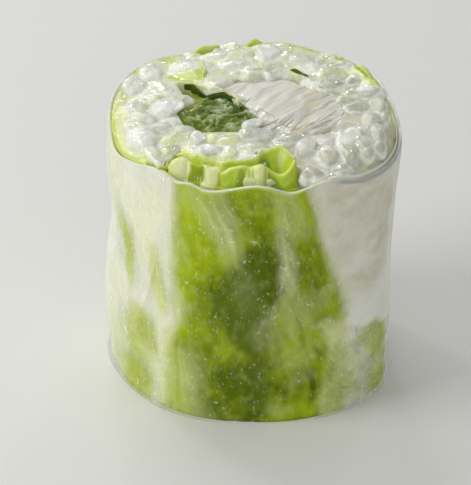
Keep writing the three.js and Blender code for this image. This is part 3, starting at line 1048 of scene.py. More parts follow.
@dataclass(frozen=True)
class PaperSkin:
    """The rice paper: one turn round the roll, doubled for a stretch behind its end."""

    shape: RollShape
    thickness: float = 0.5
    lap_step: float = 0.3
    lap_turn: float = 75.0
    front: Pair = (-192.0, 12.0)
    front_columns: int = 400
    back_columns: int = 110
    outer_rows: int = 136
    inner_rows: int = 10
    lip_rows: int = 5

    # Folds over the side: half width, fading edge and rise, then direction and height of each point.
    folds: tuple[Stroke, ...] = strokes("""
        0.1 0.35 0.14: -126 46, -125.3 39, -124 31
        0.12 0.35 0.16: -132.4 36, -131.8 28, -128 22.5, -122 17
        0.15 0.5 -0.14: -134 35, -135 27, -139 20, -144 13.5, -151 7
        0.12 0.4 -0.12: -137.5 20, -135 13.5, -130 7
        0.1 0.3 0.12: -80 39, -77 30, -74 25.5, -64 18.5
        0.1 0.3 0.12: -79 36, -78 28.6, -79.6 26.2, -82.7 23.7, -86.5 21.2, -90 17.5
        0.06 0.25 0.06: -126 14.6, -113 15.6, -97 16.8, -84 16
        0.08 0.25 0.07: -106 14, -103 9, -98 4.5
        0.08 0.25 0.06: -102.5 5.6, -99 0.2
        0.05 0.22 0.05: -97 25.6, -88 27.2, -78 29.3
        0.08 0.3 0.07: -90 18.6, -80 21, -70 23.4
        0.06 0.25 0.05: -90 12, -86 8.5, -80 5
        0.08 0.3 0.07: -68 20, -66 16, -66 11
        0.3 1.3 0.16: -172 41.6, -160 37, -150 34, -136 34.4
        0.3 1.6 -0.2: -168 34, -160 30, -154 22, -152 11
        0.3 1.3 0.12: -158 20, -150 17, -146 10
        0.35 0.9 0.36: -49 25, -42 23.2, -34 22.6
        0.35 1.5 0.28: -62 18.4, -50 16.2, -38 16, -23 13
        0.35 1.3 0.24: -46 7.6, -36 6, -27 3.5
        0.15 0.8 0.12: -66 44, -63 36, -58 29
        """)
    # Milky wisps over the clear parts.
    wisps: tuple[Stroke, ...] = strokes("""
        1 2.6 0.6: -109 48, -106 43, -101 36.5, -95 30
        0.3 1.4 0.4: -106 46, -103 40, -98 34
        0.3 2 0.45: -115 46, -111 41, -106 34.5
        0.3 2.4 0.3: -119 47, -116 42.5, -113 40
        0.8 2.6 0.5: -83 48, -79 43, -73 37.5, -70 35
        0.5 1.6 0.55: -81 41, -78.5 35, -77 28, -73.5 22
        1.2 3.6 0.42: -91 17.5, -82 18, -72 21, -61 24
        0.8 3.4 0.3: -82 14.5, -72 13, -63 16.5
        0.3 1.5 0.42: -77 37, -76 28.6, -77.4 25, -80.4 22.4, -84 19.8, -87 16.5
        0.6 2.8 0.45: -129 9.6, -119 7.6, -107 8.2
        2.2 5 0.34: -124 16, -121 8, -119 -4
        1.2 4 0.25: -130 3, -116 1, -102 -1
        0.2 1.3 0.4: -124 19, -117 21.4, -111 22.2
        0.4 2.2 0.25: -121 13, -113 11, -106 12
        0.6 0.9 0.85: -65 18.2, -60.5 18.9, -56 16.6
        0.4 1.2 0.35: -64 22, -60 25, -57 24
        0.4 1.6 0.3: -74 8, -68 9.5, -62 8.8
        0.3 1.6 0.25: -84 4, -78 2, -72 3
        0.4 3 0.14: -100 32, -94 27, -92 20
        0.6 2.2 0.8: -62 17, -52 15.5, -40 16, -26 14
        0.5 1.4 0.7: -49 25, -42 23.4, -33 22.4
        0.5 2 0.5: -56 11, -48 9, -40 10
        0.4 1.8 0.5: -52 5, -42 6.5, -30 5.5
        1.2 3.6 0.95: -56 19.5, -40 18.6, -24 18, 4 18
        0.3 1.8 0.7: -60 15, -46 14.6, -30 12, 0 13
        0.6 1.8 0.6: -40 2, -28 9, -18 14
        0.2 1.6 0.3: -125 40, -120 34, -117 28
        0.3 1.6 0.4: -126 26, -121 21, -116 18
        """)
    left_haze: Patch = Patch(table("""
        -124.5 50, -124.2 33, -123 24, -120.5 19, -125 15.5, -125 8, -127 -4, -200 -4, -200 52, -126 52
        """), 1.5, 0.56)
    rice_haze: Patch = Patch(table("""
        -70 52, -67 41, -61.5 31, -56.5 25, -52 19.5, -54 17, -40 15, -22 12, -14 12, -6 22, -2 52
        """), 1.3, 0.84)
    low_haze: Patch = Patch(table("""
        -58 19, -56 10, -60 2, -62 -4, -4 -4, -4 24, -40 22
        """), 1.6, 0.42)
    cream_patch: Patch = Patch(table("""
        -68 46, -60 31, -53 22, -40 21, -22 26, -14 47, -40 50
        """), 3, 1)
    leaf_patch: Patch = Patch(table("""
        -124 52, -123 30, -121 18, -126 14, -130 -4, -50 -4, -52 14, -50 20, -60 32, -68 44, -70 52
        """), 1.6, 0.85)
    leaf_strokes: tuple[Stroke, ...] = strokes("""
        1 2 1: -166 34, -157 31, -151 27, -147 19
        2.4 4 1: -152 16, -142 13, -132 8
        2.4 3 1: -156 4, -145 3, -132 3
        0.6 2 1: -135 32, -131 24, -126 18
        1.6 2.4 1: -44 15, -33 11, -22 7
        1.6 2.4 1: -40 6, -30 3, -22 1
        """)
    band: Pair = (-63.0, -7.0)
    band_height: float = 0.85
    inner_end: Pair = (-66.0, 4.0)
    inner_thickness: float = 0.14

    def lap_edge(self, z: Array) -> Array:
        """Direction of the paper's outer end, which wanders a little up the front left."""
        return -137 + 5 * np.sin(z / 13 + 0.6) + (z / self.shape.height) * 8

    def _angles(self) -> Array:
        """Directions of the columns, close together over the front."""
        spans = (*self.front, self.front_columns), (self.front[1], self.front[0] + 360, self.back_columns)
        return np.concatenate([np.linspace(*span, endpoint=False) for span in spans])

    def _profile(self) -> tuple[Array, Array]:
        """Goes round the section of the film.

        Returns:
            Shares of the height and of the thickness.
        """
        rise = np.linspace(0, 1, self.outer_rows)
        outer = rise - 0.06 * np.sin(2 * np.pi * rise) / (2 * np.pi) * 2
        lip = np.linspace(0, math.pi, self.lip_rows + 2)[1:-1]
        share = np.concatenate([outer, np.ones(self.lip_rows), np.linspace(1, 0, self.inner_rows)])
        across = np.concatenate([np.zeros(self.outer_rows), (1 - np.cos(lip)) / 2, np.ones(self.inner_rows)])
        return share, across

    def build(self, finish: PaperFinish) -> None:
        """Makes the skin: its closed turn and the inner end that stands up at the right.

        Args:
            finish: Its finish.
        """
        share, across = self._profile()
        angle, share = np.meshgrid(self._angles(), share)
        across = np.broadcast_to(across[:, None], angle.shape)
        lip = self.thickness / 2
        round_lip = np.sqrt(np.clip(1 - (2 * across - 1) ** 2, 0, 1))
        z = share * (self.shape.rim(angle) - lip) + lip * round_lip * (share == 1)
        past = (angle - self.lap_edge(z)) % 360
        outer = self.lap_step * past / 360
        doubled = 1 - ease(past, self.lap_turn - 6, self.lap_turn)
        inner = self.thickness + self.lap_step * np.maximum(doubled, past / 360)
        canvas = SideCanvas(self.shape, angle, z, 1.1, 11)
        depth = outer + (inner - outer) * across - self._relief(canvas, angle, z) * (1 - across)
        points = self.shape.point(angle, depth, z)
        draft = Draft()
        faces = grid_faces(*angle.shape, True, True).tolist()
        draft.add(points, faces, self._paint(canvas, angle, z, across, share))
        self._add_inner_end(draft)
        dress(draft.finish("rice_paper_film", finish.material()), Slot.PAPER, "rice_paper")

    def _relief(self, canvas: SideCanvas, angle: Array, z: Array) -> Array:
        """Shapes the folds and the unevenness of the film.

        Args:
            canvas: The side to paint the folds on.
            angle: Directions.
            z: Heights.

        Returns:
            How far the film stands out of its smooth form at each place.
        """
        wall = self.shape.wall(angle, z)
        relief = 0.10 * noise(wall, (3.2, 3.2, 9.0), 21)
        relief += 0.05 * noise(wall, (1.0, 1.0, 2.4), 22, 2)
        for fold in self.folds:
            relief += canvas.stroke(fold)
        return relief * ease(z, 0.0, 0.8)

    def _paint(self, canvas: SideCanvas, angle: Array, z: Array, across: Array, share: Array) -> Paint:
        """Paints the film.

        Args:
            canvas: The side.
            angle: Directions.
            z: Heights.
            across: Shares of the thickness.
            share: Shares of the height.

        Returns:
            Its haze, cream, shade and leaf tones.
        """
        wall = self.shape.wall(angle, z)
        cloud = noise(wall, 6.0, 33, 4)
        drift = np.stack([canvas.x + 0.45 * z * ease(angle, -122, -112), z, 0 * z], axis=-1)
        streak = noise(drift, (1.1, 10.0, 1.0), 31, 4)
        puff = noise(wall, (3.4, 3.4, 2.2), 36, 4)
        back_streak = noise(wall, (1.3, 1.3, 9.0), 35)
        kernel = noise(wall, (2.4, 2.4, 1.6), 37)
        # Painted shade: low on the left the haze is thinned, so the lower side shows darker and greener.
        low = 1 - ease(z, 4.0, 24.0)
        haze = 0.01 + 0.03 * cloud + canvas.strokes(self.wisps) * (0.62 + 0.62 * streak + 0.3 * cloud)
        for milk in (
            canvas.patch(self.left_haze) * (1 + 0.14 * streak + 0.4 * cloud) * (1 - 0.35 * low),
            canvas.patch(self.rice_haze) * (1 + 0.05 * cloud),
            canvas.patch(self.low_haze) * (1 + 0.9 * puff + 0.3 * streak),
            ease(angle, -15.0, 3.0) * (0.5 + 0.22 * cloud + 0.2 * back_streak),
        ):
            haze = np.maximum(haze, milk)
        for fold in self.folds:
            haze = haze + 0.9 * np.abs(canvas.stroke(fold)) * (fold.soft < 0.6)
        rim = self.shape.rim(angle)
        edge = ease(z, rim - 0.24, rim - 0.04)
        thin = ease(np.abs(turn_between(94, angle)), 70, 110)
        cut = edge * (0.74 - 0.3 * across) * (0.55 + 0.45 * thin)
        haze = np.maximum(haze * (1 - 0.8 * across * (share < 1)), cut)
        start, end = self.band
        band = ease(angle, start, start + 9) * (1 - ease(angle, end - 6, end))
        band = band * ease(z, rim - self.band_height, rim - self.band_height + 0.35)
        leaf = canvas.patch(self.leaf_patch) * (1 - edge) * (0.8 + 0.2 * cloud)
        leaf = np.maximum(leaf, 0.9 * canvas.strokes(self.leaf_strokes) * (1 + 0.6 * streak))
        return {
            "haze": np.clip(np.maximum(haze, 0.9 * band), 0, 1),
            "cream": canvas.patch(self.cream_patch) * np.clip(0.62 + 0.25 * cloud + 0.6 * kernel, 0, 1),
            "shade": band * (1 - across),
            "leaf": np.clip(leaf, 0, 1),
        }

    def _add_inner_end(self, draft: Draft) -> None:
        """Adds the stretch of the inner turn whose edge stands a little above the outer one.

        Args:
            draft: The piece to add it to.
        """
        start, end = self.inner_end
        angle, share = np.meshgrid(np.linspace(start, end, 140), np.linspace(0, 1, 16))
        stands = ease(angle, start, start + 10) * (1 - ease(angle, end - 12, end))
        low, top = self.shape.rim(angle) - 2.4, self.shape.rim(angle) - 0.6 + 1.1 * stands
        z = low + (top - low) * share
        depth = 0.66 + 0.2 * share**2 * stands
        faces = [self.shape.point(angle, depth + inward, z) for inward in (0.0, self.inner_thickness)]
        paint = {name: 0 * z for name in ("cream", "shade", "leaf")}
        draft.add_sheet(*faces, {"haze": np.where(share > 0.88, 0.8, 0.5), **paint})


# Lettuce


@dataclass(frozen=True)
class LettuceWrap:
    """The lettuce leaf just inside the paper, torn off low over the front right."""

    shape: RollShape
    start: float = -8.0
    end: float = 346.0
    # Where the fine columns of the front begin.
    seam: float = 172.0
    depth: float = 0.95
    thickness: float = 0.85
    rows: int = 84
    cap_rows: int = 6
    back_columns: int = 150
    front_columns: int = 300
    tear: tuple[Pair, ...] = table("""
        289 1, 296 0.79, 304 0.56, 310 0.41, 318 0.37, 346 0.36
        """)
    # Where the leaf stands over the paper's edge behind: direction, half width and rise.
    peeks: tuple[Place, ...] = table("""
        113 5.5 2.3, 106 3.6 1.5, 90.5 4.2 1.9, 124 4 0.9, 52 2.6 1.3, 37 8 1.2, -1 10 1.1, 72 3 0.5
        """)
    sunk_behind: float = 0.9
    sunk_left: float = 0.9
    sunk_front: float = 0.5
    crinkled: Patch = Patch(((-99, 21), (-96, -3), (-20, -3), (-20, 17)), 3.0)
    green: Patch = Patch(table("""
        -125 48, -124.2 33, -122.5 23, -119 18, -124.5 14.5, -125.5 8, -127 -2, -60 -2, -59.5 5, -57.5 8,
        -56 12, -57 15, -60 17.5, -55 18, -51.5 19.5, -53 24, -57 28, -61 33, -66 41, -69 48
        """), 1.7)
    side_greens: tuple[Stroke, ...] = strokes("""
        1.4 2.4 1: -168 34, -158 31, -151 27, -147 20
        1.2 2.6 0.9: -174 30, -162 26, -156 21
        1.3 2.2 0.8: -145 15, -139 13, -135 10
        0.2 1.6 0.6: -137 19.5, -135 13.5, -131 8
        0.2 1.4 0.5: -134 33, -135 27, -139 20, -144 13.5, -152 7
        0.4 1.8 0.6: -131.5 30, -128 22.5, -123 17
        1.8 3 0.9: -153 2, -144 4, -135 3
        0.8 2.6 0.4: -180 20, -170 18, -163 17
        0.3 1.4 0.3: -174 45, -160 42.6, -151 43.4
        1.6 3 1: -46 15, -34 11.6, -20 7.6
        1.8 3 0.95: -25 15, -21 8, -20 1
        1.6 3 1: -44 5.6, -32 3.4, -20 1
        2.2 4 0.8: -60 3, -46 1.5, -30 -1
        2.6 5 0.55: -60 12, -50 10, -38 9, -22 11
        1.6 3.4 0.7: -58 15, -56 8, -57 -3
        4 9 0.5: -175 10, -160 8, -144 9, -128 10
        3.5 5 0.7: -170 1, -150 1, -128 1
        """)
    deeps: tuple[Stroke, ...] = strokes("""
        3.2 4.5 1: -82 38, -86 30, -92 24, -101 14
        1.6 3 0.6: -86 32, -90 26, -97 20
        1.5 5 0.6: -96 30, -106 24, -112 16
        2.2 4 0.75: -98 24, -88 17, -76 15
        2.4 4.5 0.9: -82 15, -91 9, -92 3, -104 0
        2 4 0.6: -119 15, -109 12, -104 6
        1.4 4 0.6: -116 6, -108 4, -104 -2
        1.4 3 0.5: -74 38, -69 30, -66 24, -60 18
        2 4 0.5: -80 10, -70 7, -62 4
        1.6 3 0.4: -91 46, -88 40, -88 34
        1 2 0.3: -106 46, -100 40, -96 36
        """)
    # Bent borders between the soft lobes low on the right, painted darker as shade in the creases.
    lobes: tuple[Stroke, ...] = strokes("""
        0.1 0.9 0.7: -94 14, -90 13, -87 10, -88 6
        0.1 0.9 0.8: -86 17, -81 16.5, -78 13, -79 10
        0.1 0.8 0.8: -77 20, -72 19, -70 15, -72 12
        0.1 0.9 0.8: -84 8, -80 8.5, -76 6, -77 2
        0.1 0.8 0.9: -72 9, -68 8.5, -65 5, -67 1
        0.1 0.7 0.8: -68 15, -64 14, -62 10
        0.1 0.8 0.7: -92 3, -88 4, -84 2, -85 -2
        0.1 0.7 0.6: -66 23, -62 22, -58 19.5
        """)

    def leaf_top(self, angle: Array) -> Array:
        """Height of the wrap's top edge.

        Args:
            angle: Directions from start to end.

        Returns:
            A height for each.
        """
        at, share = np.array(self.tear).T
        ruffle = 0.1 * np.sin(np.radians(angle * 5)) + 0.15 * np.sin(np.radians(angle * 11 + 40))
        behind = 1 - ease(angle, 125, 150)
        rise = -self.sunk_behind * behind
        rise = rise - self.sunk_left * ease(angle, 125, 150) * (1 - ease(angle, 222, 230))
        rise = rise - self.sunk_front * ease(angle, 222, 232) * (1 - ease(angle, 288, 292))
        for direction, half, height in self.peeks:
            rise = rise + height * np.exp(-((turn_between(direction, angle) / half) ** 2)) * behind
        return np.interp(angle, at, share) * self.shape.rim(angle) + ruffle * (1 - 0.6 * behind) + rise - 0.1

    def build(self, finish: LeafFinish) -> None:
        """Makes the leaf between two uneven faces, with a rounded cut along its top.

        Args:
            finish: Its finish.
        """
        back_angles = np.linspace(self.start, self.seam, self.back_columns, endpoint=False)
        angles = np.concatenate([back_angles, np.linspace(self.seam, self.end, self.front_columns)])
        rise = np.concatenate([np.linspace(0, 1, self.rows) ** 0.92, np.ones(self.cap_rows)])
        over = np.concatenate([np.zeros(self.rows), np.linspace(0, 1, self.cap_rows + 1)[1:]])
        angle, share = np.meshgrid(angles, rise)
        over = np.broadcast_to(over[:, None], angle.shape)
        signed = turn_between(0, angle)
        wall = self.shape.wall(angle, share * self.shape.height)
        top = self.leaf_top(angle)
        cap = 0.1 * np.sin(np.pi * over) + 0.12 * noise(wall, 1.6, 48) * (over > 0)
        z = share * top + cap
        canvas = SideCanvas(self.shape, signed, z, 1.5, 41)
        ripple = np.sin(np.radians(angle * 9) + z * 0.45) * np.cos(z * 0.31)
        pillow = cells(np.stack([canvas.x + 0.15 * z, canvas.y * 0.8], axis=-1), 3.2, 43)[0]
        crinkle = ease(20 - z, 0, 8) * canvas.patch(self.crinkled)
        relief = 0.16 * (0.5 + 0.5 * ripple) + 0.12 * noise(wall, (3.0, 3.0, 8.0), 44)
        relief += crinkle * 0.45 * (0.6 - pillow) + 0.05
        depth = self.depth - np.clip(relief, -0.2, 0.4) + 0.56 * self.thickness * over
        back_z = np.where(over > 0, top - 0.4 * (1 - over), share * (top - 0.4))
        thin = self.thickness * (1 - 0.4 * ease(share, 0.9, 1.0))
        faces = self.shape.point(angle, depth, z), self.shape.point(angle, self.depth + thin, back_z)
        draft = Draft()
        draft.add_sheet(*faces, self._paint(canvas, signed, top - z, wall, crinkle * ease(pillow, 0.3, 0.85)))
        dress(draft.finish("lettuce_wrap_leaf", finish.material()), Slot.LETTUCE, "lettuce_wrap")

    def _paint(self, canvas: SideCanvas, angle: Array, below: Array, wall: Array, hollows: Array) -> Paint:
        """Paints the leaf, with painted shade between its lobes and painted light along its top.

        Args:
            canvas: The side.
            angle: Directions.
            below: Distances below the leaf's top.
            wall: Places on the plain wall.
            hollows: How deep each place lies between the soft lobes, which is painted darker as shade.

        Returns:
            Its pale, deep and edge tones.
        """
        streak = noise(wall, (1.8, 1.8, 8.0), 51)
        cloud = noise(wall, 5.0, 52, 4)
        fleck = noise(wall, 1.1, 53)
        behind = ease(angle, -2.0, 10.0) * (1 - ease(angle, self.seam, 180))
        side_green = canvas.strokes(self.side_greens) * (1 + 0.3 * fleck)
        front_green = np.maximum(canvas.patch(self.green), side_green)
        back_green = ease(0.45 * streak + 0.7 * cloud, -0.15, 0.5)
        green = np.maximum(front_green * (1 - behind), back_green * behind)
        # Painted light near the top at the back: the leaf is painted a brighter green there, without its deep
        # tone, against the shade under the rim.
        near_top = 1 - ease(below, 0.3, 4.5)
        green = np.clip(green * (1 + 0.12 * fleck), 0, 1)
        green = green + (0.8 + 0.2 * cloud - green) * near_top * behind
        deep = canvas.strokes(self.deeps) * (1 - behind) + behind * 0.4 * ease(cloud, 0.1, 0.6)
        # Painted shade: darker along the borders between the lobes and in the hollows between them, low on
        # the right.
        borders = canvas.strokes(self.lobes) * ease(wall[..., 2], 30.0, 20.0)
        deep = deep * (1 - 0.35 * hollows) + 0.1 + 0.14 * streak + 0.22 * cloud + 0.12 * fleck
        deep = np.clip(deep + 0.6 * borders * (0.7 + 0.6 * cloud) + 0.35 * hollows, 0, 1)
        # Pale cut colour along the top edge, stronger on the left: painted light against the shade under the
        # rim there.
        edge = (1 - ease(below, -0.3, 0.5)) * np.where((angle < -128) | (angle > 150), 0.9, 0.4)
        return {"pale": 1 - green, "deep": deep * green * (1 - near_top * behind), "edge": edge}


@dataclass(frozen=True)
class LettuceFrill:
    """The ruffled fold of lettuce that stands up inside the front of the rim and leans in."""

    shape: RollShape
    start: float = -130.5
    end: float = -71.0
    foot_depth: float = 3.0
    thickness: float = 0.5
    pleat: float = 0.4
    # Millimetres along the rim for each degree.
    squeeze: float = 0.43
    columns: int = 300
    rows: int = 92
    # The fold's front and back edges, left to right: direction, depth behind the skin and height.
    crest: tuple[Place, ...] = table("""
        -131 2.5 45.1, -129.5 3.1 46.3, -126 3.7 46.9, -124 4.1 46.7, -122.2 4 46.4, -121 5.3 45.4, -119 5.8
        45.2, -117 5.5 45.6, -114.6 4.6 46.1, -112.4 4.6 45.9, -108.5 4.7 46, -106.2 4.4 45.5, -102 4.6
        46.3, -96.5 5 46.7, -93 5.1 46.5, -90.8 4.6 47, -87.5 4.6 47.3, -84.7 4.7 46.6, -82 4.5 45.9, -78.5
        4.2 45.5, -75.6 4.3 46, -73 4.8 46.9, -70.8 5.8 47.4
        """)
    back: tuple[Place, ...] = table("""
        -133 2.9 45.2, -136.5 4.6 44.9, -137.5 6.4 45.1, -135 7.3 45.6, -131.5 7.4 45.9, -127.6 7.1 46,
        -123.6 7.3 46.5, -120 7.2 46.4, -116 7.2 46.2, -112 7.2 46, -108.5 7 46.1, -104.5 7.2 46.5, -100 7.3
        46.7, -96 7.3 46.8, -92 7.8 46.9, -89 8.6 47.2, -87.4 9.6 47.5, -83 10.2 47.5, -78 10.5 47.5, -74
        10.5 47.8, -71.6 9.7 47.5, -70.2 8.4 47.2, -69.6 6.9 47.2
        """)
    creases: tuple[float, ...] = (-131, -122.4, -114.5, -106.2, -95.3, -90.5, -84.5, -71)
    # Painted over direction and way round the fold: 20 is the front crest, 37 the back one. The pale strokes
    # paint ribs and pale panels, and along the crests painted highlights; the panels' paleness is partly
    # painted light coming through the fold.
    whites: tuple[Stroke, ...] = strokes("""
        3.2 1.8 0.95: -127.5 -8, -127 10, -126.5 22, -126 30
        0.4 0.7 1: -122.3 -8, -122.3 8, -122.2 23
        0.3 0.7 0.8: -114.5 -8, -114.5 8, -114.6 23
        1.9 1.8 0.85: -112.4 -16, -111.4 8, -110.4 26, -110 44
        0.3 1 0.6: -105 20, -101 20.6, -95 20.6
        0.2 0.7 0.55: -94.2 -6, -94.2 8, -94.2 23
        0.3 0.7 0.6: -92.2 -6, -92.2 8, -92 23
        1.2 2 0.75: -89.6 -4, -89 10, -88.6 30
        0.3 0.8 0.55: -85.2 2, -85 12, -85 22
        1.2 2.4 1: -93 35, -88 36.5, -84 37, -79 37
        0.8 2.2 0.6: -76 29, -73 33, -71 36
        0.8 2.2 0.45: -138 33, -128 36, -112 34
        """)
    # Darker strokes: the three across the valley between the crests are painted shade; the others darken
    # panels of the front face.
    darks: tuple[Stroke, ...] = strokes("""
        2 3.5 0.9: -114 26, -104 25, -93 27
        0.6 1.6 1: -134 25, -128 24.5, -122 25
        2.2 2 0.4: -119.5 -6, -118.5 10, -118 21
        1.2 3 0.9: -83.4 19, -81 13, -80 4
        1.2 2.4 0.55: -98 0, -96.8 12, -96.3 21
        2 3 0.8: -91 27, -86 28, -81 25
        """)

    def _edge(self, knots: tuple[Place, ...]) -> Array:
        """Directions, depths and heights of an edge, one for each column."""
        stretched = [(self.squeeze * angle, depth, z) for angle, depth, z in knots]
        return spline(stretched, False, self.columns)[0] / (self.squeeze, 1, 1)

    def _way(self) -> Array:
        """Follows the fold's middle from its foot over its front crest to its back one.

        Returns:
            Directions, depths and heights, (rows, columns, 3).
        """
        crest, back = self._edge(self.crest), self._edge(self.back)
        foot = np.linspace(self.start, self.end, self.columns)
        at = np.array(self.creases)
        side = np.clip(np.searchsorted(at, foot, side="right") - 1, 0, len(at) - 2)
        share = (foot - at[side]) / (at[side + 1] - at[side])
        bulge = self.pleat * np.sin(np.pi * np.clip(share, 0, 1)) ** 0.8
        out = crest[:, 1] - self.foot_depth
        low = np.minimum(crest[:, 2], back[:, 2])
        span = back - crest

        def between(share: float, z: Array) -> tuple[Array, Array, Array]:
            """A row a share of the way from the front crest to the back one."""
            return crest[:, 0] + span[:, 0] * share, crest[:, 1] + span[:, 1] * share, z

        level = 0.5 * (crest[:, 0] + foot)
        knots = np.stack([
            np.stack(np.broadcast_arrays(*row), axis=-1)
            for row in (
                (foot, self.foot_depth, 0.0),
                (foot, self.foot_depth, 22.0),
                (foot, self.foot_depth, 40.0),
                (foot, self.foot_depth + 0.45 * out - bulge, 43.2),
                (level, self.foot_depth + 0.85 * out - bulge, crest[:, 2] - 1.1),
                tuple(crest.T),
                between(0.3, low - 0.5 - 0.05 * span[:, 1]),
                between(0.62, low - 0.9 - 0.12 * span[:, 1]),
                between(0.9, back[:, 2] - 0.9),
                between(1.0, back[:, 2]),
                (back[:, 0], back[:, 1] + 0.5, back[:, 2] - 0.7),
            )
        ])
        at = np.array([0.0, 0.06, 0.14, 0.26, 0.4, 0.5, 0.6, 0.7, 0.82, 0.93, 1.0])
        share = np.linspace(0, 1, self.rows)
        index = np.clip(np.searchsorted(at, share, side="right") - 1, 0, len(at) - 2)
        gap = (at[index + 1] - at[index])[:, None, None]
        slope = np.gradient(knots, at, axis=0)
        t = (share - at[index])[:, None, None] / gap
        return hermite(t, knots[index], slope[index] * gap, knots[index + 1], slope[index + 1] * gap)

    def build(self, finish: LeafFinish) -> None:
        """Makes the fold as one thin closed sheet.

        Args:
            finish: Its finish.
        """
        way = self._way()
        share = np.linspace(0, 1, self.rows)[:, None]
        angle = way[..., 0]
        flat = np.stack([angle * self.squeeze, share * 14 + 0 * angle, 0 * angle], axis=-1)
        raised = ease(share, 0.2, 0.35)
        depth = way[..., 1] + raised * 0.12 * noise(flat, (1.6, 5.0, 1.0), 61)
        z = np.maximum(way[..., 2] + raised * 0.1 * noise(flat, (1.8, 4.0, 1.0), 62), 0.0)
        middle = self.shape.point(angle, depth, z)
        normal = np.cross(np.gradient(middle, axis=1), np.gradient(middle, axis=0))
        normal[:3] = normal[:3] * (1, 1, 0)
        normal /= np.linalg.norm(normal, axis=-1, keepdims=True)
        half = (self.thickness / 2 * (1 - 0.6 * ease(share, 0.8, 1.0)))[..., None]
        front, back = middle + normal * half, middle - normal * half
        front[0, :, 2] = back[0, :, 2] = 0.0
        draft = Draft()
        draft.add_sheet(front, back, self._paint(angle, share + 0 * angle, flat))
        dress(draft.finish("lettuce_frill_leaf", finish.material()), Slot.LETTUCE, "lettuce_frill")

    def _paint(self, angle: Array, share: Array, flat: Array) -> Paint:
        """Paints pale panels, painted shade in the valley, and painted highlights along the crests and the
        back edge.

        Args:
            angle: Directions.
            share: Shares of the way round the fold.
            flat: Places for the noise.

        Returns:
            Its pale, deep and edge tones.
        """
        streak = noise(flat, (0.7, 7.0, 1.0), 65)
        canvas = Canvas(angle, 40 * share, 0.5, 3.0, 66)
        # Painted highlights: a bright line along the front crest and a lighter tone over the back crest to
        # the leaf's edge.
        rim = ease(share, 0.84, 0.94)
        crest = np.exp(-(((share - 0.5) / 0.02) ** 2))
        pale = np.clip(canvas.strokes(self.whites) * (1 + 0.35 * streak) + 0.1 * streak, 0, 1)
        deep = np.clip(canvas.strokes(self.darks) + 0.14 + 0.25 * streak - 0.4 * crest - 0.5 * rim, 0, 1)
        return {"pale": pale, "deep": deep * (1 - 0.8 * pale), "edge": np.clip(0.6 * rim + 0.4 * crest, 0, 1)}


@dataclass(frozen=True)
class StandingLeaf:
    """One thin leaf that stands between the fillings and thins out towards its ragged top."""

    shape: RollShape
    name: str
    node: str
    slot: Slot
    line: tuple[Pair, ...]
    width: float
    top: float
    pale: float = 0.08
    tip: float = 0.25
    notch: float = 0.0
    steps: int = 110
    rows: int = 60

    def _full(self, count: int) -> Array:
        """Shares of the width along the leaf, which thins towards its ends."""
        return self.tip + (1 - self.tip) * np.sin(np.pi * np.linspace(0, 1, count))

    def room(self, grow: float) -> Array:
        """Goes round the leaf, seen from above, with room to spare.

        Args:
            grow: How far outside the leaf to go.

        Returns:
            A closed ring, (48, 2).
        """
        places, along = spline(self.line, False, 24)
        half = (self.width / 2 * self._full(24) + grow)[:, None]
        places[0] -= along[0] * grow
        places[-1] += along[-1] * grow
        return np.vstack([places - across_line(along) * half, (places + across_line(along) * half)[::-1]])

    def build(self, finish: LeafFinish) -> None:
        """Makes the leaf, weaving a little on its way up.

        Args:
            finish: Its finish.
        """
        places, along = spline(self.line, False, self.steps)
        full = self._full(self.steps)
        height = (1 - (1 - np.linspace(0, 1, self.rows)) ** 2)[:, None]
        flat = places[None] + 0 * height[..., None]
        spot = np.concatenate([flat, height[..., None] * self.top + 0 * flat[..., :1]], axis=-1)
        upper = ease(height, 0.93, 1.0)
        ragged = noise(spot * (1, 1, 0), 1.1, 71)
        notch = self.notch * np.exp(-(((np.linspace(0, 1, self.steps) - 0.42) / 0.12) ** 2))
        z = height * (self.top - 1.2 * (1 - full) + 0.6 * ragged - 0.1 - notch)
        weave = 0.3 * noise(spot, (1.6, 1.6, 3.0), 72) - 0.35 * upper * (1 + ragged)
        half = 0.5 * self.width * full * (1 - 0.7 * upper)
        side = across_line(along)
        faces = [self.shape.lift(flat + side * (weave + sign * half)[..., None], z) for sign in (-1, 1)]
        streak = noise(spot, (0.5, 0.5, 1.6), 73)
        deep = 0.2 + 0.5 * streak + 0.9 * noise(spot, 1.8, 74) + 0.6 * ease(height, 0.97, 0.99)
        draft = Draft()
        draft.add_sheet(*faces, {
            "pale": np.clip(self.pale + 0.3 * streak + 0.2 * upper, 0, 1),
            "deep": np.clip(deep, 0, 1),
            "edge": 0.3 * (1 - ease(height, 0.95, 0.98)),
        })
        dress(draft.finish(self.name, finish.material()), self.slot, self.node)


# Fillings


@dataclass(frozen=True)
class Plug:
    """A filling that runs from cut to cut inside the rice, seen from above as a closed curve."""

    outline: tuple[Pair, ...]
    top: float
    columns: int = 300
    rings: int = 66

    def ring(self, count: int, grow: float = 0.0) -> Array:
        """Goes round the outline counter-clockwise.

        Args:
            count: How many points to return.
            grow: How far outside the outline to go.

        Returns:
            The points, (count, 2).
        """
        places, along = spline(self.outline, True, count)
        return (places + across_line(along) * grow)[::-1]

    def levels(self) -> tuple[Array, Array]:
        """Steps over the plug from the middle of its foot to the middle of its top.

        Returns:
            The scale of each ring, and its mark: 0 foot, 1 side, 2 top.
        """
        inward = np.linspace(1, 0.02, self.rings)
        foot, side = inward[::6][::-1], np.ones(6)
        mark = np.repeat((0, 1, 2), (len(foot), len(side), len(inward)))
        return np.concatenate([foot, side, inward]), mark


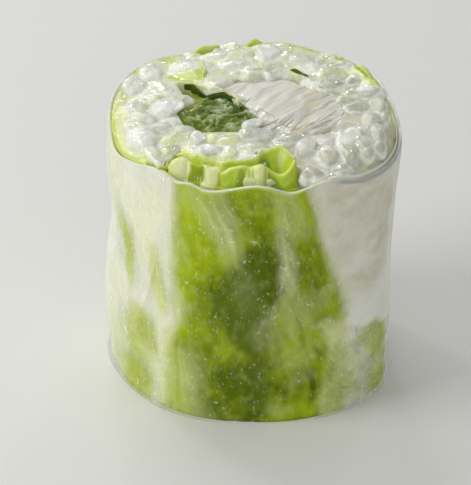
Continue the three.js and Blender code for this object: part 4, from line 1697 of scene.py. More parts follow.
PALE_PLUG = Plug(table("""
    -6.3 9.2, -4.3 12.4, -0.9 13.9, 3.6 14.6, 8.2 11.6, 13.4 5.6, 15.4 -0.8, 10.2 -6.6, 4.8 -2.2, -0.6 4.6
    """), 46.7)
HERB_PLUG = Plug(table("""
    -12.8 9.2, -10 9.5, -7.1 6.9, -3.8 5.1, -0.8 1.6, 1.2 -2.4, -2.4 -6, -6.6 -5.7, -10.6 -3.8, -12.8 1.6,
    -11.2 5
    """), 45.9)
# Room round the plugs and the leaves, and how far grains keep from them.
PLUG_ROOM = 0.35
LEAF_ROOM = -0.05
CLEAR_OF_FLESH = 0.3
CLEAR_OF_HERBS = 0.8
CLEAR_OF_LEAVES = 0.9


@dataclass(frozen=True)
class PaleFilling:
    """The pale flesh: smooth in the middle, torn into strands at its right, with painted warm shade between
    them.
    """

    shape: RollShape
    plug: Plug = PALE_PLUG
    grain: float = 47.0
    top: float = 46.6
    lip_start: float = 44.6
    # The torn face spreads over the rice a little further than the plug below it.
    face: tuple[Pair, ...] = table("""
        -6.5 8.4, -5.4 10.4, -3 12.5, -0.3 13.3, 2.2 14.2, 4.6 14.6, 6.6 13, 9.2 11.2, 12.4 9.4, 15 7.4, 17
        4.4, 17.4 0.8, 16 -2.8, 13.4 -5.9, 10.2 -7.4, 7.4 -6.4, 4.2 -4.4, 2 -2.3, 0.3 0.6, -1.3 3.1, -3.6
        6.1
        """)
    edge_rings: int = 104
    side_rings: int = 14
    columns: int = 400
    strands: int = 46
    seed: int = 12

    def _torn(self, flat: Array) -> Array:
        """How torn the face is at places, from 0 in its smooth middle to 1."""
        return ease(flat[..., 0] - 0.75 * flat[..., 1], 3.0, 12.0)

    def _relief(self, flat: Array) -> tuple[Array, Array, Array]:
        """Shapes the torn face.

        Args:
            flat: Places of the plan, (..., 2).

        Returns:
            Its relief, its tears and its ridges.
        """
        turn = math.radians(self.grain)
        along = flat[..., 0] * math.cos(turn) + flat[..., 1] * math.sin(turn)
        across = -flat[..., 0] * math.sin(turn) + flat[..., 1] * math.cos(turn)
        swirl = lattice_noise(np.stack([along, across, 0 * along], axis=-1), 6.0, 80)
        bent = across + 0.5 * np.sin(0.35 * along + 0.6) + 0.9 * swirl
        spot = np.stack([along, bent, 0 * along], axis=-1)
        fibre = 1 - 2 * np.abs(noise(spot, (6.0, 1.3, 1.0), 81, 2))
        fine = noise(spot, (4.0, 0.6, 1.0), 83, 2)
        flake = noise(spot, (7.0, 3.0, 1.0), 84, 2)
        torn = self._torn(flat)
        rough = 0.1 + 0.1 * torn + 0.1 * noise(spot, (5.0, 5.0, 1.0), 86, 2)
        relief = rough * (0.7 * fibre + 0.35 * fine) + (0.1 + 0.2 * torn) * flake - 0.2
        # Painted shade: warm and dark in the grooves between the fibres, most where the face is torn; warm
        # stains at random are added to it.
        tear = ease(-(fibre * 0.8 + 0.5 * fine + 0.3 * flake), -0.2, 0.5) * (0.12 + 0.88 * torn)
        stain = noise(np.stack([0.7 * along, bent, 0 * along], axis=-1), 3.6, 87, 2)
        return relief, np.maximum(tear, 0.4 * ease(stain, 0.1, 0.5)), ease(fibre + 0.4 * fine, 0.3, 0.9)

    def _levels(self) -> list[tuple[Array, Array, float]]:
        """Follows the filling from its foot up its side and over its torn face.

        Returns:
            Places, heights and scale of each ring.
        """
        count = self.columns
        low, high = self.plug.ring(count), spline(self.face, True, count)[0][::-1]
        apart = [np.sum((np.roll(high, shift, axis=0) - low) ** 2) for shift in range(count)]
        high = np.roll(high, int(np.argmin(apart)), axis=0)
        inward = np.linspace(1, 0.02, self.edge_rings)
        levels = []
        for scale in inward[::8][::-1]:
            flat = low.mean(0) + (low - low.mean(0)) * scale
            z = np.maximum(0.4 * self._relief(flat)[0], 0) * (1 - ease(scale, 0.8, 1.0))
            levels.append((flat, z, scale))
        for z in np.linspace(1.0, self.lip_start, self.side_rings):
            levels.append((low, np.full(count, z), 1.0))
        for step in np.linspace(0.2, 1.0, 5):
            flat = low + (high - low) * math.sin(step * math.pi / 2)
            z = self.lip_start + (self.top - 0.7 - self.lip_start) * step
            levels.append((flat, np.full(count, z), 1.0))
        for scale in inward[1:]:
            flat = high.mean(0) + (high - high.mean(0)) * scale
            z = self.top + self._relief(flat)[0] + 0.35 * (1 - scale**2) - 0.6 * ease(scale, 0.86, 1.0) ** 2
            levels.append((flat, z, scale))
        return levels

    def build(self, finish: FillingFinish) -> None:
        """Makes the filling from its foot to its torn top, with loose strands on it.

        Args:
            finish: Its finish.
        """
        flat, z, scale = (np.array(part) for part in zip(*self._levels()))
        _, tear, ridge = self._relief(flat)
        spot = np.concatenate([flat, z[..., None]], axis=-1)
        side = flat - flat.mean(axis=1, keepdims=True)
        side /= np.linalg.norm(side, axis=-1, keepdims=True)
        rim = ease(scale, 0.75, 1.0)[:, None]
        upper = 0.25 + 0.75 * ease(z, 42, 45)
        ragged = noise(spot, 2.0, 88, 2) + 0.5 * noise(spot, 0.8, 89, 2)
        flat = flat + side * (rim * upper * ragged)[..., None]
        draft = Draft()
        draft.add_column(self.shape.lift(flat, np.maximum(z, 0)), {"tear": tear, "ridge": ridge})
        self._add_strands(draft)
        dress(draft.finish("pale_filling_flesh", finish.material()), Slot.FILLING, "pale_filling")

    def _add_strands(self, draft: Draft) -> None:
        """Lays thin torn strands over the torn side and along the edge.

        Args:
            draft: The piece to add them to.
        """
        random = np.random.default_rng(self.seed)
        face = np.array(self.face)
        made = 0
        while made < self.strands:
            x, y = random.uniform(-4, 17), random.uniform(-7, 13)
            draws = random.uniform(-1, 1, 6)
            start = np.array([x, y])
            at_edge = np.min(np.linalg.norm(face - start, axis=1)) < 2.4 and made % 3 == 0
            if inside(face, x, y) and (at_edge or self._torn(start) > 0.35):
                self._add_strand(draft, start, draws)
                made += 1

    def _add_strand(self, draft: Draft, start: Array, draws: Array) -> None:
        """Lays one strand, a tapered tube.

        Args:
            draft: The piece to add it to.
            start: Place of its middle.
            draws: Six draws between -1 and 1 for its form and tone.
        """
        share = np.linspace(0, 1, 14)[:, None]
        heading = math.radians(self.grain + 20 * draws[0]) + 0.5 * draws[1] * (share - 0.5)
        length = 4.2 + 1.6 * draws[2]
        step = np.concatenate([np.cos(heading), np.sin(heading)], axis=1) * length / 13
        line = start + np.cumsum(step, axis=0) - step.sum(axis=0) / 2
        z = self.top + self._relief(line)[0][:, None] + 0.08 + 0.16 * np.sin(np.pi * share) * abs(draws[3])
        radius = (0.08 + 0.08 * abs(draws[4])) * np.sin(np.pi * np.clip(share, 0.03, 0.97)) ** 0.5
        turn = np.linspace(0, 2 * math.pi, 6, endpoint=False)
        cross = np.concatenate([-np.sin(heading), np.cos(heading)], axis=1)
        ring = line[:, None] + cross[:, None] * (1.6 * radius * np.cos(turn))[..., None]
        rings = self.shape.lift(ring, z + radius * np.sin(turn))
        shade = np.full(rings.shape[:2], 0.2 * (1 + draws[5]))
        draft.add_column(rings, {"tear": shade, "ridge": 1 - shade})


@dataclass(frozen=True)
class HerbBundle:
    """Wet green herbs, crumpled together, with starch caught on their edges."""

    shape: RollShape
    plug: Plug = HERB_PLUG

    def build(self, finish: LeafFinish) -> None:
        """Makes the bundle from its foot to its crumpled top.

        Args:
            finish: Its finish.
        """
        ring = self.plug.ring(self.plug.columns)
        scale, mark = self.plug.levels()
        flat = ring.mean(0) + (ring[None] - ring.mean(0)) * scale[:, None, None]
        x, y = flat[..., 0], flat[..., 1]
        level = np.zeros(x.shape)
        warp = [2.0 * noise(np.stack([x, y, level + turn], axis=-1), 3.2, 90) for turn in (0.0, 40.0)]
        spot = np.stack([0.8 * x + warp[0], 1.2 * y + warp[1], level], axis=-1)
        broad = 1 - 2 * np.abs(noise(spot, 3.6, 96, 2))
        narrow = 1 - 2 * np.abs(noise(spot, (2.4, 1.2, 1.0), 92, 2))
        fine = noise(spot, 0.7, 95, 2)
        facet = ease(-x + 0.35 * y, 9.4, 11.2)
        relief = (0.85 * broad + 0.6 * narrow + 0.45 * fine) * (1 - 0.7 * facet) - 0.25
        drop = ease(np.broadcast_to(scale[:, None], relief.shape), 0.85, 1.0)
        z = np.maximum(0.25 * relief, 0) * (1 - drop)
        beside = ease(x * 0.63 + y * 0.78, 0.2, 2.4)
        z[mark == 2] = (self.plug.top + relief - 0.5 * drop - 0.35 * beside)[mark == 2]
        z[mark == 1] = (np.linspace(0, 1, np.sum(mark == 1) + 2)[1:-1] * (self.plug.top - 1.5))[:, None]
        cloud = noise(spot, 2.4, 97)
        line = ease(narrow + 0.3 * fine, 0.62, 0.9) + 0.8 * ease(broad + 0.3 * fine, 0.75, 0.95)
        starch = line * ease(cloud + 0.3 * fine, -0.15, 0.3) + 0.6 * ease(cloud - 0.3 * broad, 0.25, 0.6)
        back = ease(y + 0.6 * x, -0.5, 3.0)
        bright = ease(-y - 0.3 * x, -1.0, 4.0)
        deep = 0.4 + 0.5 * back - 0.45 * bright - 0.6 * broad - 0.5 * narrow + 0.7 * fine + 0.6 * cloud
        draft = Draft()
        draft.add_column(self.shape.lift(flat, z), {
            "pale": np.clip(0.5 * starch * (1 - facet), 0, 1),
            "deep": np.clip(deep, 0, 1) * (1 - 0.85 * facet),
            "edge": np.clip(0.7 * facet + 0.35 * bright * ease(cloud, -0.3, 0.4), 0, 1),
        })
        dress(draft.finish("herb_bundle_leaves", finish.material()), Slot.HERBS, "herb_bundle")


# Packed rice


@dataclass(frozen=True)
class Grain:
    """One cooked grain: where it lies, how it points, its size and how chalky it is."""

    x: float
    y: float
    z: float
    heading: float
    pitch: float
    length: float = 5.8
    width: float = 3.1
    height: float = 2.7
    chalk: float = 0.4
    tint: float = 0.0

    def axes(self) -> Array:
        """Looks up how the grain points.

        Returns:
            Directions of its length, width and height, one a row.
        """
        turn, pitch = math.radians(self.heading), math.radians(self.pitch)
        long = (math.cos(pitch) * math.cos(turn), math.cos(pitch) * math.sin(turn), math.sin(pitch))
        wide = (-math.sin(turn), math.cos(turn), 0.0)
        return np.array([long, wide, np.cross(long, wide)])


PLACED_GRAINS: tuple[Grain, ...] = tuple(Grain(*row) for row in table("""
    -14.5 1.2 47.2 50 30 6.2 5 3.6 0.95,
    -17.4 12.1 46.6 80 38 6.5 4 3.6 0.85 0.1,
    -20 8.5 46.2 100 42 6.2 4.2 3.6 0.85 0.1,
    -18.6 -6.9 46.1 20 18 5.4 5 3.8 0.95,
    -17.1 -8.4 45.7 60 10 4.6 3.4 3.2 0.8,
    -18.3 -1 46.2 -30 12 4 2.8 2.8 0.8 0.1,
    -16 -5 46.4 0 6 5.2 3 2.6 0.65 0.1,
    -13.9 -3.7 47 -5 5 4.8 2.4 2.2 1,
    -13.6 -8.2 45.6 5 4 6.8 3.6 2.4 0.05 0.3,
    -11.8 -6 46.4 10 10 5 3.1 2.6 0.3 0.15,
    -9.1 -9.3 46.5 75 48 5.2 2.8 2.4 0.8,
    -7.4 -11.9 46 12 8 4.9 2.8 2.6 0.9,
    -6.8 -8.2 46 38 14 4.8 3 2.4 0.1 0.2,
    -3.6 -9.2 45.9 5 6 5.6 3.6 2.5 0.05 0.25,
    -4.2 -13.2 45.4 60 20 5.2 3.2 2.5 0.15 0.25,
    0.6 -7.3 46.9 0 5 5.8 3.5 2.7 0.4,
    0.4 -11.6 46 -5 6 5.6 3.5 2.7 0.35 0.1,
    -0.2 -4.4 47.3 30 8 3.6 2.2 2 0.95,
    6.2 -8.6 46.2 -10 6 5.8 3.4 2.5 0.2 0.05,
    5.2 -11.2 45.9 12 8 5.2 2.9 2.5 0.15 0.1,
    8.9 -12.4 46.1 82 48 6.2 3.6 3 0.55,
    12.6 -14.6 46 94 16 6 3 2.7 0.22,
    15.8 -13.6 46.1 100 18 5.8 3.2 2.7 0.2,
    9.9 -19.8 45.1 26 4 4.6 3 3.2 0.3,
    15.8 -9.2 47.1 35 24 5.8 3.2 2.8 1,
    12.4 -9.6 46.5 20 12 4.4 3.2 2.6 0.65,
    18.1 -10.4 46.2 30 20 4.8 3.3 2.8 0.4,
    20.2 -2.7 46.6 100 16 5.2 2.9 2.7 0.15,
    21 -6.9 46.1 95 18 5.2 2.7 2.6 0.45,
    18.6 -12.6 45.9 112 14 5.2 2.8 2.6 0.25,
    20.9 -10.6 45.6 104 16 4.6 2.6 2.5 0.2,
    22 -1.6 46.1 80 8 4.6 2.6 2.5 0.3,
    21.6 2.6 46.5 100 10 5 2.6 2.5 0.4 0.1,
    14.6 -17.6 44.9 30 10 4.8 2.8 2.2 0.1,
    18.6 -6.2 46.5 60 20 3.6 2.4 2.2 0.6,
    20.2 6.4 46.4 25 10 5.8 3.6 2.7 0.15,
    19.4 7.6 47.3 -35 8 3.2 2.1 1.8 1,
    16.1 4.9 47 15 4 3.6 1.8 1.6 1,
    13.5 9.6 46.8 0 5 5 3.5 2.6 0.05,
    15 15.8 47 0 14 5.2 3.3 2.6 0.3,
    2.6 19.8 47.4 60 36 6 4.4 3.4 0.95,
    -11.6 15.6 47.1 24 10 7.4 3.7 2.8 0.75 0.1,
    -3.4 16 47 6 8 7.2 3.6 2.8 0.75 0.15,
    -6.9 19 47.2 18 10 6.2 3.5 2.8 0.7 0.15,
    8.5 18 47.2 0 12 6 3.6 2.8 0.5 0.1
    """))


@dataclass(frozen=True)
class PackedRice:
    """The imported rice: grains in their own starch, melded into one skin, over a plain core."""

    shape: RollShape
    wrap: LettuceWrap
    holes: tuple[Array, ...]
    kept_clear: tuple[tuple[Array, float], ...]
    side_depth: float = 1.95
    over_leaf: float = 0.86
    bare_depth: float = 1.1
    core_columns: int = 330
    core_rows: int = 44
    top_rings: int = 84
    slab_low: float = 41.0
    below_rim: float = 0.55
    slope: float = 3.6
    raised: float = 0.75
    voxel: float = 0.22
    smoothing: int = 1
    kept_share: float = 0.5
    roughness: float = 0.17
    pressed: float = 0.46
    warp: float = 0.75
    foot_cell: float = 3.1
    foot_seed: int = 108
    under_fold: float = 42.3
    # The narrow wall of rice between the herbs and the pale filling, which stays low.
    sliver: tuple[Pair, Pair] = ((-0.9, 2.9), (2.0, -1.8))
    seed: int = 7
    length: float = 5.8
    width: float = 3.1
    height: float = 2.7
    skin_room: float = 2.0
    # Spacing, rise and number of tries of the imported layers, the lower one first.
    layers: tuple[tuple[float, float, int], ...] = ((2.5, -0.45, 4200), (3.8, 0.15, 1500))
    placed_spacing: float = 3.0
    side_spacing: float = 3.0
    side_tries: int = 900
    side_grain_depth: float = 2.2

    def _side(self, angle: Array, z: Array) -> Array:
        """Follows the core's side, which is close behind the paper where the lettuce is torn away.

        Args:
            angle: Directions.
            z: Heights.

        Returns:
            Depths behind the skin.
        """
        signed = turn_between(0, angle)
        edge = np.interp(z, (0, 15, 19, 25, 33, 41, 48), (-8, -14, -50, -57, -61, -66, -66))
        bare = ease(signed, edge + 2.0, edge + 6.0) * (1 - ease(signed, -9.5, -7.5))
        in_front = ease(signed, -137, -131) * (1 - ease(signed, -70, -64))
        over = ease(z - self.wrap.leaf_top(angle % 360), 0.1, 0.6) * (1 - in_front)
        covered = self.side_depth - 0.3 * ease(z, 41, 44) + 1.9 * in_front
        covered = covered + (self.over_leaf - covered) * over
        return covered + (self.bare_depth - covered) * bare

    def _reach(self, x: Array, y: Array) -> tuple[Array, Array]:
        """Looks up places of the plan.

        Args:
            x: Their first coordinates.
            y: Their second ones.

        Returns:
            Their directions, and how deep under the fold of lettuce they lie, from 0 to 1.
        """
        angle = np.degrees(np.arctan2(y, x))
        corner = ease(angle, -92.0, -86.0)
        under = ease(np.hypot(x, y), 15.8 - 3.6 * corner, 17.2 - 3.6 * corner)
        return angle, under * ease(angle, -141.0, -135.0) * (1 - ease(angle, -69.0, -66.0))

    def _between(self, flat: Array) -> Array:
        """Follows the starch between the grains, away from the wall.

        Args:
            flat: Places of the plan, (..., 2).

        Returns:
            Its heights.
        """
        x, y = flat[..., 0], flat[..., 1]
        (x_1, y_1), (x_2, y_2) = self.sliver
        share = ((x - x_1) * (x_2 - x_1) + (y - y_1) * (y_2 - y_1)) / ((x_2 - x_1) ** 2 + (y_2 - y_1) ** 2)
        share = np.clip(share, 0, 1)
        away = np.hypot(x - x_1 - share * (x_2 - x_1), y - y_1 - share * (y_2 - y_1))
        dip = 1.3 * (1 - ease(away, 0.5, 1.5))
        back = 0.3 * ease(y - 0.4 * x, 2.0, 12.0)
        return self.shape.rice_top(flat) + self.raised * ease(x + 0.7 * y, -24.0, -8.0) + back - dip

    def _top(self, flat: Array, edge: Array, inset: Array) -> Array:
        """Follows the starch up from the wall and down under the fold of lettuce.

        Args:
            flat: Places of the plan, (..., 2).
            edge: Height of the rice at the wall in the same direction.
            inset: Distance from that wall.

        Returns:
            Its heights.
        """
        x, y = flat[..., 0], flat[..., 1]
        z = edge + (self._between(flat) - edge) * ease(inset, -0.6, self.slope)
        z = z + (np.minimum(z, self.under_fold) - z) * self._reach(x, y)[1]
        return z + 0.1 * noise(np.stack([x, y, 0 * x], axis=-1), 1.3, 103)

    def _walls(self, low: float, high: Array | float, rows: int) -> Array:
        """Makes rings up the side of the rice, a little dented between the grains.

        Args:
            low: Height of the lowest ring.
            high: Height of the highest one.
            rows: How many rings.

        Returns:
            Their points, (rows, columns, 3).
        """
        angle = np.linspace(0, 360, self.core_columns, endpoint=False)
        levels = low + (high - low) * np.linspace(0, 1, rows)[:, None] + 0 * angle
        rings = self.shape.point(np.broadcast_to(angle, levels.shape), self._side(angle, levels), levels)
        out = rings * (1, 1, 0)
        out /= np.linalg.norm(out, axis=-1, keepdims=True)
        return rings + out * (0.16 * noise(rings, 2.6, 101, 2) - 0.14)[..., None]

    def _lower_core(self) -> Array:
        """Makes the plain lower part, closed at its foot and below the loose top.

        Returns:
            Its rings.
        """
        walls = self._walls(0.0, self.slab_low + 0.4, self.core_rows)
        foot = [walls[0] * (scale, scale, 0) for scale in np.linspace(0.03, 0.985, 48)]
        for ring in foot[:-2]:
            nearest, second, _ = cells(ring[:, :2], self.foot_cell, self.foot_seed)
            ring[:, 2] = 0.3 * (1 - ease(second - nearest, 0.02, 0.3))
        lid = [walls[-1] * (scale, scale, 1) for scale in (0.9, 0.5, 0.05)]
        return np.concatenate([np.array(foot), walls, np.array(lid)])

    def _slab(self) -> Array:
        """Makes the upper part, from under it up the wall and over the top.

        Returns:
            Its rings.
        """
        angle = np.linspace(0, 360, self.core_columns, endpoint=False)
        front = ease(turn_between(0, angle), -75, -65) * (1 - ease(turn_between(0, angle), -8, 5))
        edge = self.shape.rim(angle) - self.below_rim * (0.75 * front - 0.1)
        walls = self._walls(self.slab_low, edge, 14)
        reach = np.hypot(walls[-1][:, 0], walls[-1][:, 1])
        under = [walls[0] * (scale, scale, 1) for scale in (0.05, 0.5, 0.9)]
        top = []
        for scale in np.linspace(1, 0.02, self.top_rings)[1:]:
            flat = walls[-1][:, :2] * scale
            top.append(np.column_stack([flat, self._top(flat, edge, reach * (1 - scale))]))
        return np.concatenate([np.array(under), walls, np.array(top)])

    def _tones(self, points: Array) -> tuple[Array, Array]:
        """Colours the starch.

        Args:
            points: Places, (..., 3).

        Returns:
            How much leaf colour and how much warm tone shows there.
        """
        x, y = points[..., 0], points[..., 1]
        radius = np.hypot(x, y)
        angle = np.degrees(np.arctan2(y, x))
        left = 1 - ease(np.abs(turn_between(178, angle)), 55, 105)
        depth = self.shape.skin_radius(angle, self.shape.height + 0 * angle) - radius
        beside = (1 - ease(depth, 1.5, 2.2)) * np.maximum(left, ease(angle, 5, 25))
        tint = 0.2 + 0.18 * ease(y, 6, 14) + left * (0.14 + 0.14 * ease(radius, 12, 20))
        tint = tint + 0.1 * ease(radius, 19.5, 22.5) + 0.55 * beside
        tint = tint + 0.8 * np.exp(-(((x + 11.2) / 3.4) ** 2) - ((y - 12.2) / 2.0) ** 2)
        front = ease(-y, 4, 9) * (1 - ease(x, 0, 9)) * ease(x, -14, -8)
        stretch = ease(-angle, 124, 130) * (1 - ease(-angle, 141, 150)) * ease(radius, 15.5, 18.5)
        tint = tint + 0.25 * front + 0.75 * stretch + 0.18 * noise(points, 2.6, 104)
        warm = ease(x, 2, 11) * ease(-y + 0.15 * x, -2, 8) * (1 - 0.6 * ease(radius, 19.5, 22.0))
        return np.clip(tint * (1 - 0.8 * warm), 0, 1), warm

    def _fits(self, x: float, y: float, room: float) -> bool:
        """Whether a grain may lie at a place.

        Args:
            x: First coordinate of the place.
            y: Second coordinate.
            room: Least distance from the side.

        Returns:
            True inside the side and clear of the fillings.
        """
        angle = np.array(math.degrees(math.atan2(y, x)))
        reach = float(self.shape.skin_radius(angle, np.array(self.shape.height)) - self.skin_room)
        if math.hypot(x, y) > reach - room:
            return False
        return not any(
            np.min(np.hypot(ring[:, 0] - x, ring[:, 1] - y)) < clear or inside(ring, x, y)
            for ring, clear in self.kept_clear
        )

    def _scatter(self) -> tuple[list[Grain], list[Grain]]:
        """Lays grains by a seeded rule.

        Returns:
            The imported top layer, then those behind the bare paper.
        """
        random = np.random.default_rng(self.seed)
        kept = [(grain.x, grain.y, self.placed_spacing) for grain in PLACED_GRAINS]
        packed: list[Grain] = []
        for spacing, lift, tries in self.layers:
            layer = list(kept)
            for _ in range(tries):
                x, y = random.uniform(-24, 24, 2)
                draws = random.uniform(-1, 1, 8)
                angle, under = self._reach(np.array(x), np.array(y))
                edge_room = 3.2 if angle < -142 or angle > 150 or -64 < angle < -14 else 0.2
                beside_fold = -75 < angle < -58 and math.hypot(x, y) > 13.5
                in_pocket = math.hypot((x + 11.2) / 1.5, y - 12.2) < 2.2
                if under > 0 or beside_fold or in_pocket or not self._fits(x, y, edge_room):
                    continue
                if any(math.hypot(x - a, y - b) < 0.5 * (spacing + gap) for a, b, gap in layer):
                    continue
                layer.append((x, y, spacing))
                z = float(self.shape.rice_top(np.array([x, y]))) + lift + 0.3 * draws[0]
                packed.append(self._grain(x, y, z, draws, 10 + 22 * (draws[7] > 0.6)))
        return packed, self._side_grains(random)

    def _grain(self, x: float, y: float, z: float, draws: Array, tilt: float) -> Grain:
        """Makes a grain from a few draws.

        Args:
            x: First coordinate of its middle.
            y: Second coordinate.
            z: Height of its middle.
            draws: Eight draws between -1 and 1 for its turn, size and tone.
            tilt: How far it may be tilted.

        Returns:
            The grain.
        """
        size = 1 + 0.14 * draws[1]
        back = float(ease(np.array(y - 0.5 * x), -2, 16))
        return Grain(
            x, y, z, 180 * draws[2], tilt * draws[3],
            self.length * size, self.width * size * (1 + 0.12 * draws[4]), self.height * size,
            float(np.clip(0.15 + 0.45 * draws[5] + 0.15 * back, 0, 1)),
            float(np.clip(0.05 + 0.15 * back + 0.1 * draws[6], 0, 1)),
        )

    def _side_grains(self, random: np.random.Generator) -> list[Grain]:
        """Presses grains against the bare paper at the front right.

        Args:
            random: Where the draws come from.

        Returns:
            The grains.
        """
        grains: list[Grain] = []
        for _ in range(self.side_tries):
            angle, z = random.uniform(-68, -12), random.uniform(17, 42.5)
            draws = random.uniform(-1, 1, 8)
            if self._side(np.array(angle), np.array(z)) > self.bare_depth + 0.1:
                continue
            place = self.shape.point(np.array(angle), np.array(self.side_grain_depth), np.array(z))
            x, y, height = (float(value) for value in place - (*self.shape.middle, 0))
            if any(math.dist((x, y, height), (g.x, g.y, g.z)) < self.side_spacing for g in grains):
                continue
            loose = self._grain(x, y, height, draws, 0.0)
            lying = {"heading": angle + 90, "pitch": 85 * draws[3]}
            grains.append(replace(loose, **lying, width=2.5, height=2.4, tint=0.0))
        return grains

    def build(self, finish: RiceFinish) -> None:
        """Makes the core, cut clear of the fillings, and the loose grains.

        Args:
            finish: The finish of both.
        """
        material = finish.material()
        packed, loose = self._scatter()
        sliced = GrainTree().grow(packed, self.shape, material)
        whole = GrainTree(cut=48.0, uneven=0.45).grow(PLACED_GRAINS, self.shape, material)
        slab = self._solid("slab", self._slab(), material)
        melded = self._meld(slab, self._join("heap", sliced, whole, material), [*packed, *PLACED_GRAINS])
        lower = self._solid("lower", self._lower_core(), material)
        dress(self._join("rice_core", melded, lower, material), Slot.RICE, "rice")
        dress(GrainTree().grow(loose, self.shape, material), Slot.RICE, "rice")

    def _solid(self, name: str, rings: Array, material: Material) -> Piece:
        """Makes one part of the core with the rooms for the fillings taken out.

        Args:
            name: The part's name.
            rings: Its rings.
            material: Its finish.

        Returns:
            The part.
        """
        draft = Draft()
        tint, warm = self._tones(rings)
        nearest, second, value = cells(rings[..., :2], self.foot_cell, self.foot_seed)
        # On the foot: chalky cells with painted bright outlines round them, like the painted light round the
        # top's grains.
        outline = ease(second - nearest, 0.04, 0.14) * (1 - ease(second - nearest, 0.14, 0.34))
        chalk = np.where(rings[..., 2] < 0.5, np.maximum(0.8 * value, 0.7 * outline), 0.3)
        draft.add_column(rings, {"chalk": chalk, "tint": tint, "warm": warm})
        solid = draft.finish(name, material)
        for ring in self.holes:
            self._cut(solid, ring)
        return solid

    def _marks(self, points: Array, grains: Sequence[Grain]) -> Paint:
        """Paints the melded skin: chalky grains and painted bright outlines, standing in for light caught at
        the grains' edges, over tinted starch.

        Args:
            points: Places of the skin in the plan of the fillings, (count, 3).
            grains: The grains melded into it.

        Returns:
            Values of chalk with the painted outlines in it, tint, warm and the grain's own body for each
            place.
        """
        nearest = np.full(len(points), 1.4)
        chalk, own, outer = (np.zeros(len(points)) for _ in range(3))
        for grain in grains:
            away = points - (grain.x, grain.y, grain.z)
            near = np.flatnonzero(np.abs(away).max(axis=1) < 0.7 * grain.length)
            half = np.array([grain.length, grain.width, grain.height]) / 2
            local = away[near] @ grain.axes().T / half
            size = np.linalg.norm(local, axis=1)
            won = size < nearest[near]
            chosen = near[won]
            sunk = (self._between(np.array([grain.x, grain.y])) - grain.z) / half[2]
            shown = math.sqrt(1 - float(np.clip(sunk, 0.0, 0.9)) ** 2)
            nearest[chosen] = size[won]
            outer[chosen] = np.linalg.norm(local[won, :2], axis=1) / shown
            chalk[chosen], own[chosen] = grain.chalk, grain.tint
        on_grain = 1 - ease(nearest, 1.1, 1.3)
        # Painted light: a bright line round the edge of each grain's footprint, carried in the chalk value.
        outline = ease(outer, 0.78, 0.96) * on_grain * (0.75 + 0.4 * noise(points, 1.2, 107, 2))
        milky = noise(points, 2.0, 109, 2)
        tint, warm = self._tones(points)
        return {
            "chalk": np.maximum(0.04 + (chalk * (0.8 + 0.3 * milky) - 0.04) * on_grain, 0.9 * outline),
            "tint": tint * (1 - 0.7 * on_grain) + own * on_grain,
            "warm": warm * (1 - 0.75 * on_grain),
            "body": chalk * on_grain,
        }

    def _press(self, points: Array, body: Array) -> None:
        """Presses the grains flatter and moves them out of line a little.

        Args:
            points: Places of the skin, (count, 3), changed in place.
            body: How chalky the grain at each place is.
        """
        x, y = points[:, 0], points[:, 1]
        inset = self.shape.skin_radius(np.degrees(np.arctan2(y, x)), points[:, 2]) - np.hypot(x, y)
        raised = np.maximum(points[:, 2] - self._between(points), 0) * ease(inset, 1.5, 3.5)
        flatter = self.pressed - 0.16 * ease(x - y, 18.0, 26.0) + 0.12 * ease(y - 0.4 * x, 2.0, 12.0)
        points[:, 2] -= flatter * raised * (1 - 0.25 * ease(body, 0.5, 0.9))
        upper = ease(points[:, 2], 43, 45) * ease(inset, 1.2, 4.0)
        for axis in (0, 1):
            points[:, axis] += self.warp * upper * noise(points * (1, 1, 0), 3.4, 111 + axis, 2)

    def _meld(self, slab: Piece, heap: Piece, grains: Sequence[Grain]) -> Piece:
        """Grows the slab and its packed grains together into one soft skin.

        Args:
            slab: The upper part of the core.
            heap: The mesh of the grains.
            grains: The same grains as numbers.

        Returns:
            The skin.
        """
        melded = self._join("melded", slab, heap, slab.data.materials[0])
        skin = melded.modifiers.new("skin", "REMESH")
        skin.mode = "VOXEL"
        skin.voxel_size = self.voxel * MM
        soften = melded.modifiers.new("soften", "SMOOTH")
        soften.factor = 0.5
        soften.iterations = self.smoothing
        fewer = melded.modifiers.new("fewer", "DECIMATE")
        fewer.ratio = self.kept_share
        settle(melded)
        mesh = melded.data
        places, normals = (np.empty(3 * len(mesh.vertices), np.float32) for _ in range(2))
        mesh.vertices.foreach_get("co", places)
        mesh.vertex_normals.foreach_get("vector", normals)
        middle = (*self.shape.middle, 0)
        points = places.reshape(-1, 3).astype(float) / MM - middle
        ridges = 1 - 2 * np.abs(noise(points, 2.2, 105, 2))
        rough = self.roughness * (ridges + 0.5 * noise(points, 0.8, 106, 2)) * ease(points[:, 2], 43, 44.5)
        points = points + normals.reshape(-1, 3) * rough[:, None]
        marks = self._marks(points, grains)
        self._press(points, marks["body"])
        mesh.vertices.foreach_set("co", ((points + middle) * MM).astype(np.float32).ravel())
        mesh.update()
        for name, values in marks.items():
            set_values(mesh, name, values)
        return melded

    @staticmethod
    def _join(name: str, first: Piece, second: Piece, material: Material) -> Piece:
        """Puts two meshes into one new piece and drops their objects.

        Args:
            name: Name of the new piece.
            first: One piece.
            second: The other one.
            material: Finish of the new piece.

        Returns:
            The new piece.
        """
        both = bmesh.new()
        both.from_mesh(first.data)
        both.from_mesh(second.data)
        mesh = bpy.data.meshes.new(name)
        both.to_mesh(mesh)
        both.free()
        mesh.shade_smooth()
        mesh.materials.clear()
        mesh.materials.append(material)
        piece = stand(name, mesh)
        for used in (first, second):
            bpy.data.objects.remove(used)
        return piece

